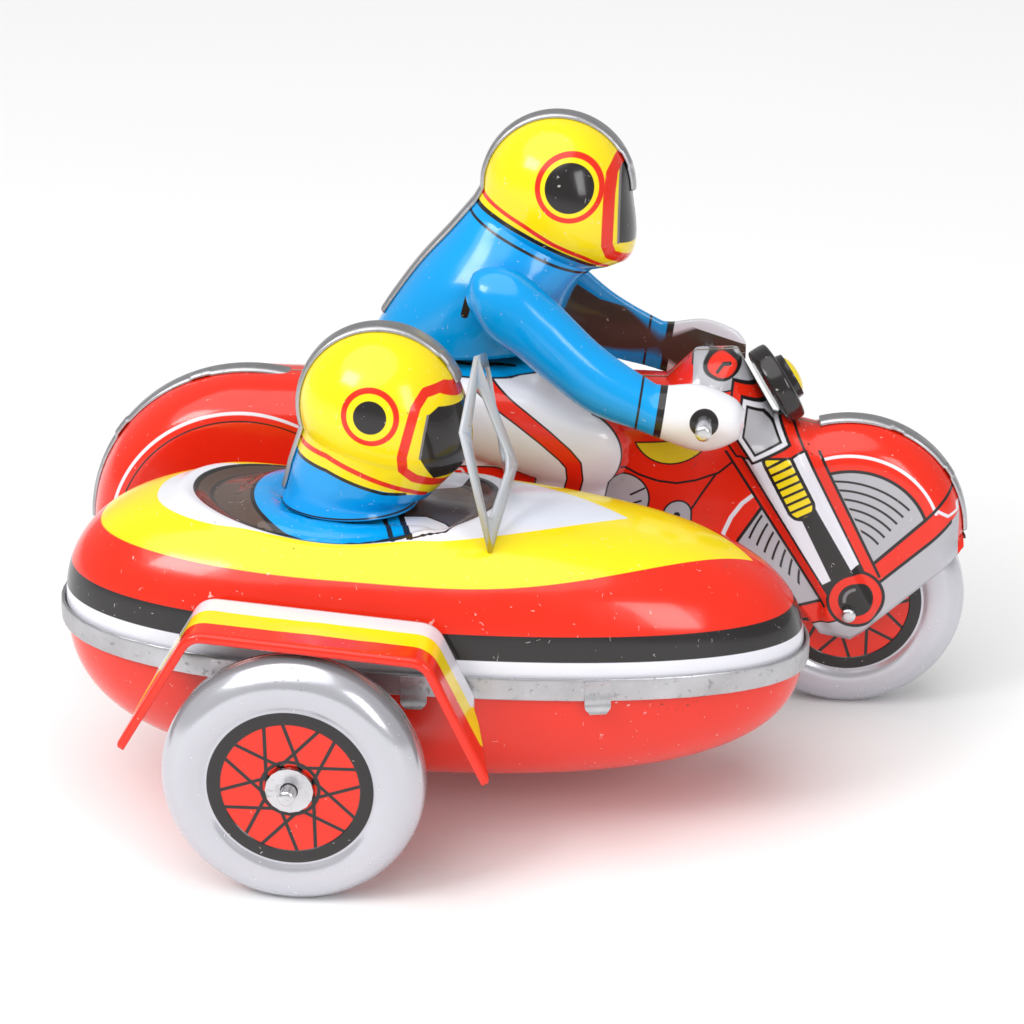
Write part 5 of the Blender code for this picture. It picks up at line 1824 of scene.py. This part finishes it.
def make_light(context):
    world = bpy.data.worlds.new("pale_studio")
    world.use_nodes = True
    background = world.node_tree.nodes["Background"]
    background.inputs["Color"].default_value = (1.0, 1.0, 1.0, 1.0)
    lift = world.node_tree.nodes.new("ShaderNodeLightPath").outputs["Is Camera Ray"]
    strength = world.node_tree.nodes.new("ShaderNodeMapRange")
    strength.inputs["To Min"].default_value = WORLD_LIGHT
    strength.inputs["To Max"].default_value = WORLD_BACKDROP
    world.node_tree.links.new(lift, strength.inputs["Value"])
    world.node_tree.links.new(strength.outputs[0], background.inputs["Strength"])
    context.scene.world = world
    add_lamp(context, "soft_sky", "SUN", (-0.25, -0.35, 1.0), 2.0, angle=math.radians(SKY_SPREAD))
    for name, place, size, energy in (
        ("rear_softbox", (-0.55, -0.45, 0.62), (0.34, 0.26), 3.0),
        ("front_softbox", (0.5, -0.62, 0.4), (0.2, 0.4), 1.6),
    ):
        add_lamp(context, name, "AREA", place, energy, shape="RECTANGLE", size=size[0], size_y=size[1])


def add_lamp(context, name, kind, place, energy, **details):
    light = bpy.data.lights.new(name, kind)
    light.energy = energy
    for detail, value in details.items():
        setattr(light, detail, value)
    lamp = bpy.data.objects.new(name, light)
    lamp.location = place
    aim = LAMP_TARGET - Vector(place)
    lamp.rotation_euler = aim.to_track_quat("-Z", "Y").to_euler()
    context.scene.collection.objects.link(lamp)


CAMERA_PLACE = (79.21, -532.62, 262.24)
CAMERA_TURN = 5.0
CAMERA_DROP = 22.5
CAMERA_LENS = 94.92


def make_camera(context):
    camera = bpy.data.cameras.new("camera")
    camera.lens = CAMERA_LENS
    camera.sensor_width = 36.0
    camera.clip_start = 0.01
    eye = bpy.data.objects.new("camera", camera)
    eye.location = [MM * value for value in np.array(CAMERA_PLACE) + LAYOUT_ORIGIN]
    eye.rotation_euler = (math.radians(90.0 - CAMERA_DROP), 0.0, math.radians(CAMERA_TURN))
    context.scene.collection.objects.link(eye)
    context.scene.camera = eye
    context.scene.view_settings.view_transform = "Standard"


# ---------------------------------------------------------------- panel and start

OPERATORS = (
    TINTOY_OT_body,
    TINTOY_OT_figures,
    TINTOY_OT_sidecar,
    TINTOY_OT_wheels,
    TINTOY_OT_fittings,
    TINTOY_OT_stage,
)


class TINTOY_PT_panel(bpy.types.Panel):
    bl_idname = "TINTOY_PT_panel"
    bl_label = "Tin Motorcycle"
    bl_space_type = "VIEW_3D"
    bl_region_type = "UI"
    bl_category = "Tin Toy"

    def draw(self, context):
        chosen = context.scene.tin_toy
        for name in TinToySettings.__annotations__:
            self.layout.prop(chosen, name)
        for operator in OPERATORS:
            self.layout.operator(operator.bl_idname)


CLASSES = (TinToySettings, *OPERATORS, TINTOY_PT_panel)


def register():
    for entry in CLASSES:
        bpy.utils.register_class(entry)
    bpy.types.Scene.tin_toy = bpy.props.PointerProperty(type=TinToySettings)


def unregister():
    del bpy.types.Scene.tin_toy
    for entry in reversed(CLASSES):
        bpy.utils.unregister_class(entry)


def main():
    register()
    for operator in OPERATORS:
        getattr(bpy.ops.tin_toy, operator.bl_idname.split(".")[1])()


if __name__ == "__main__":
    main()
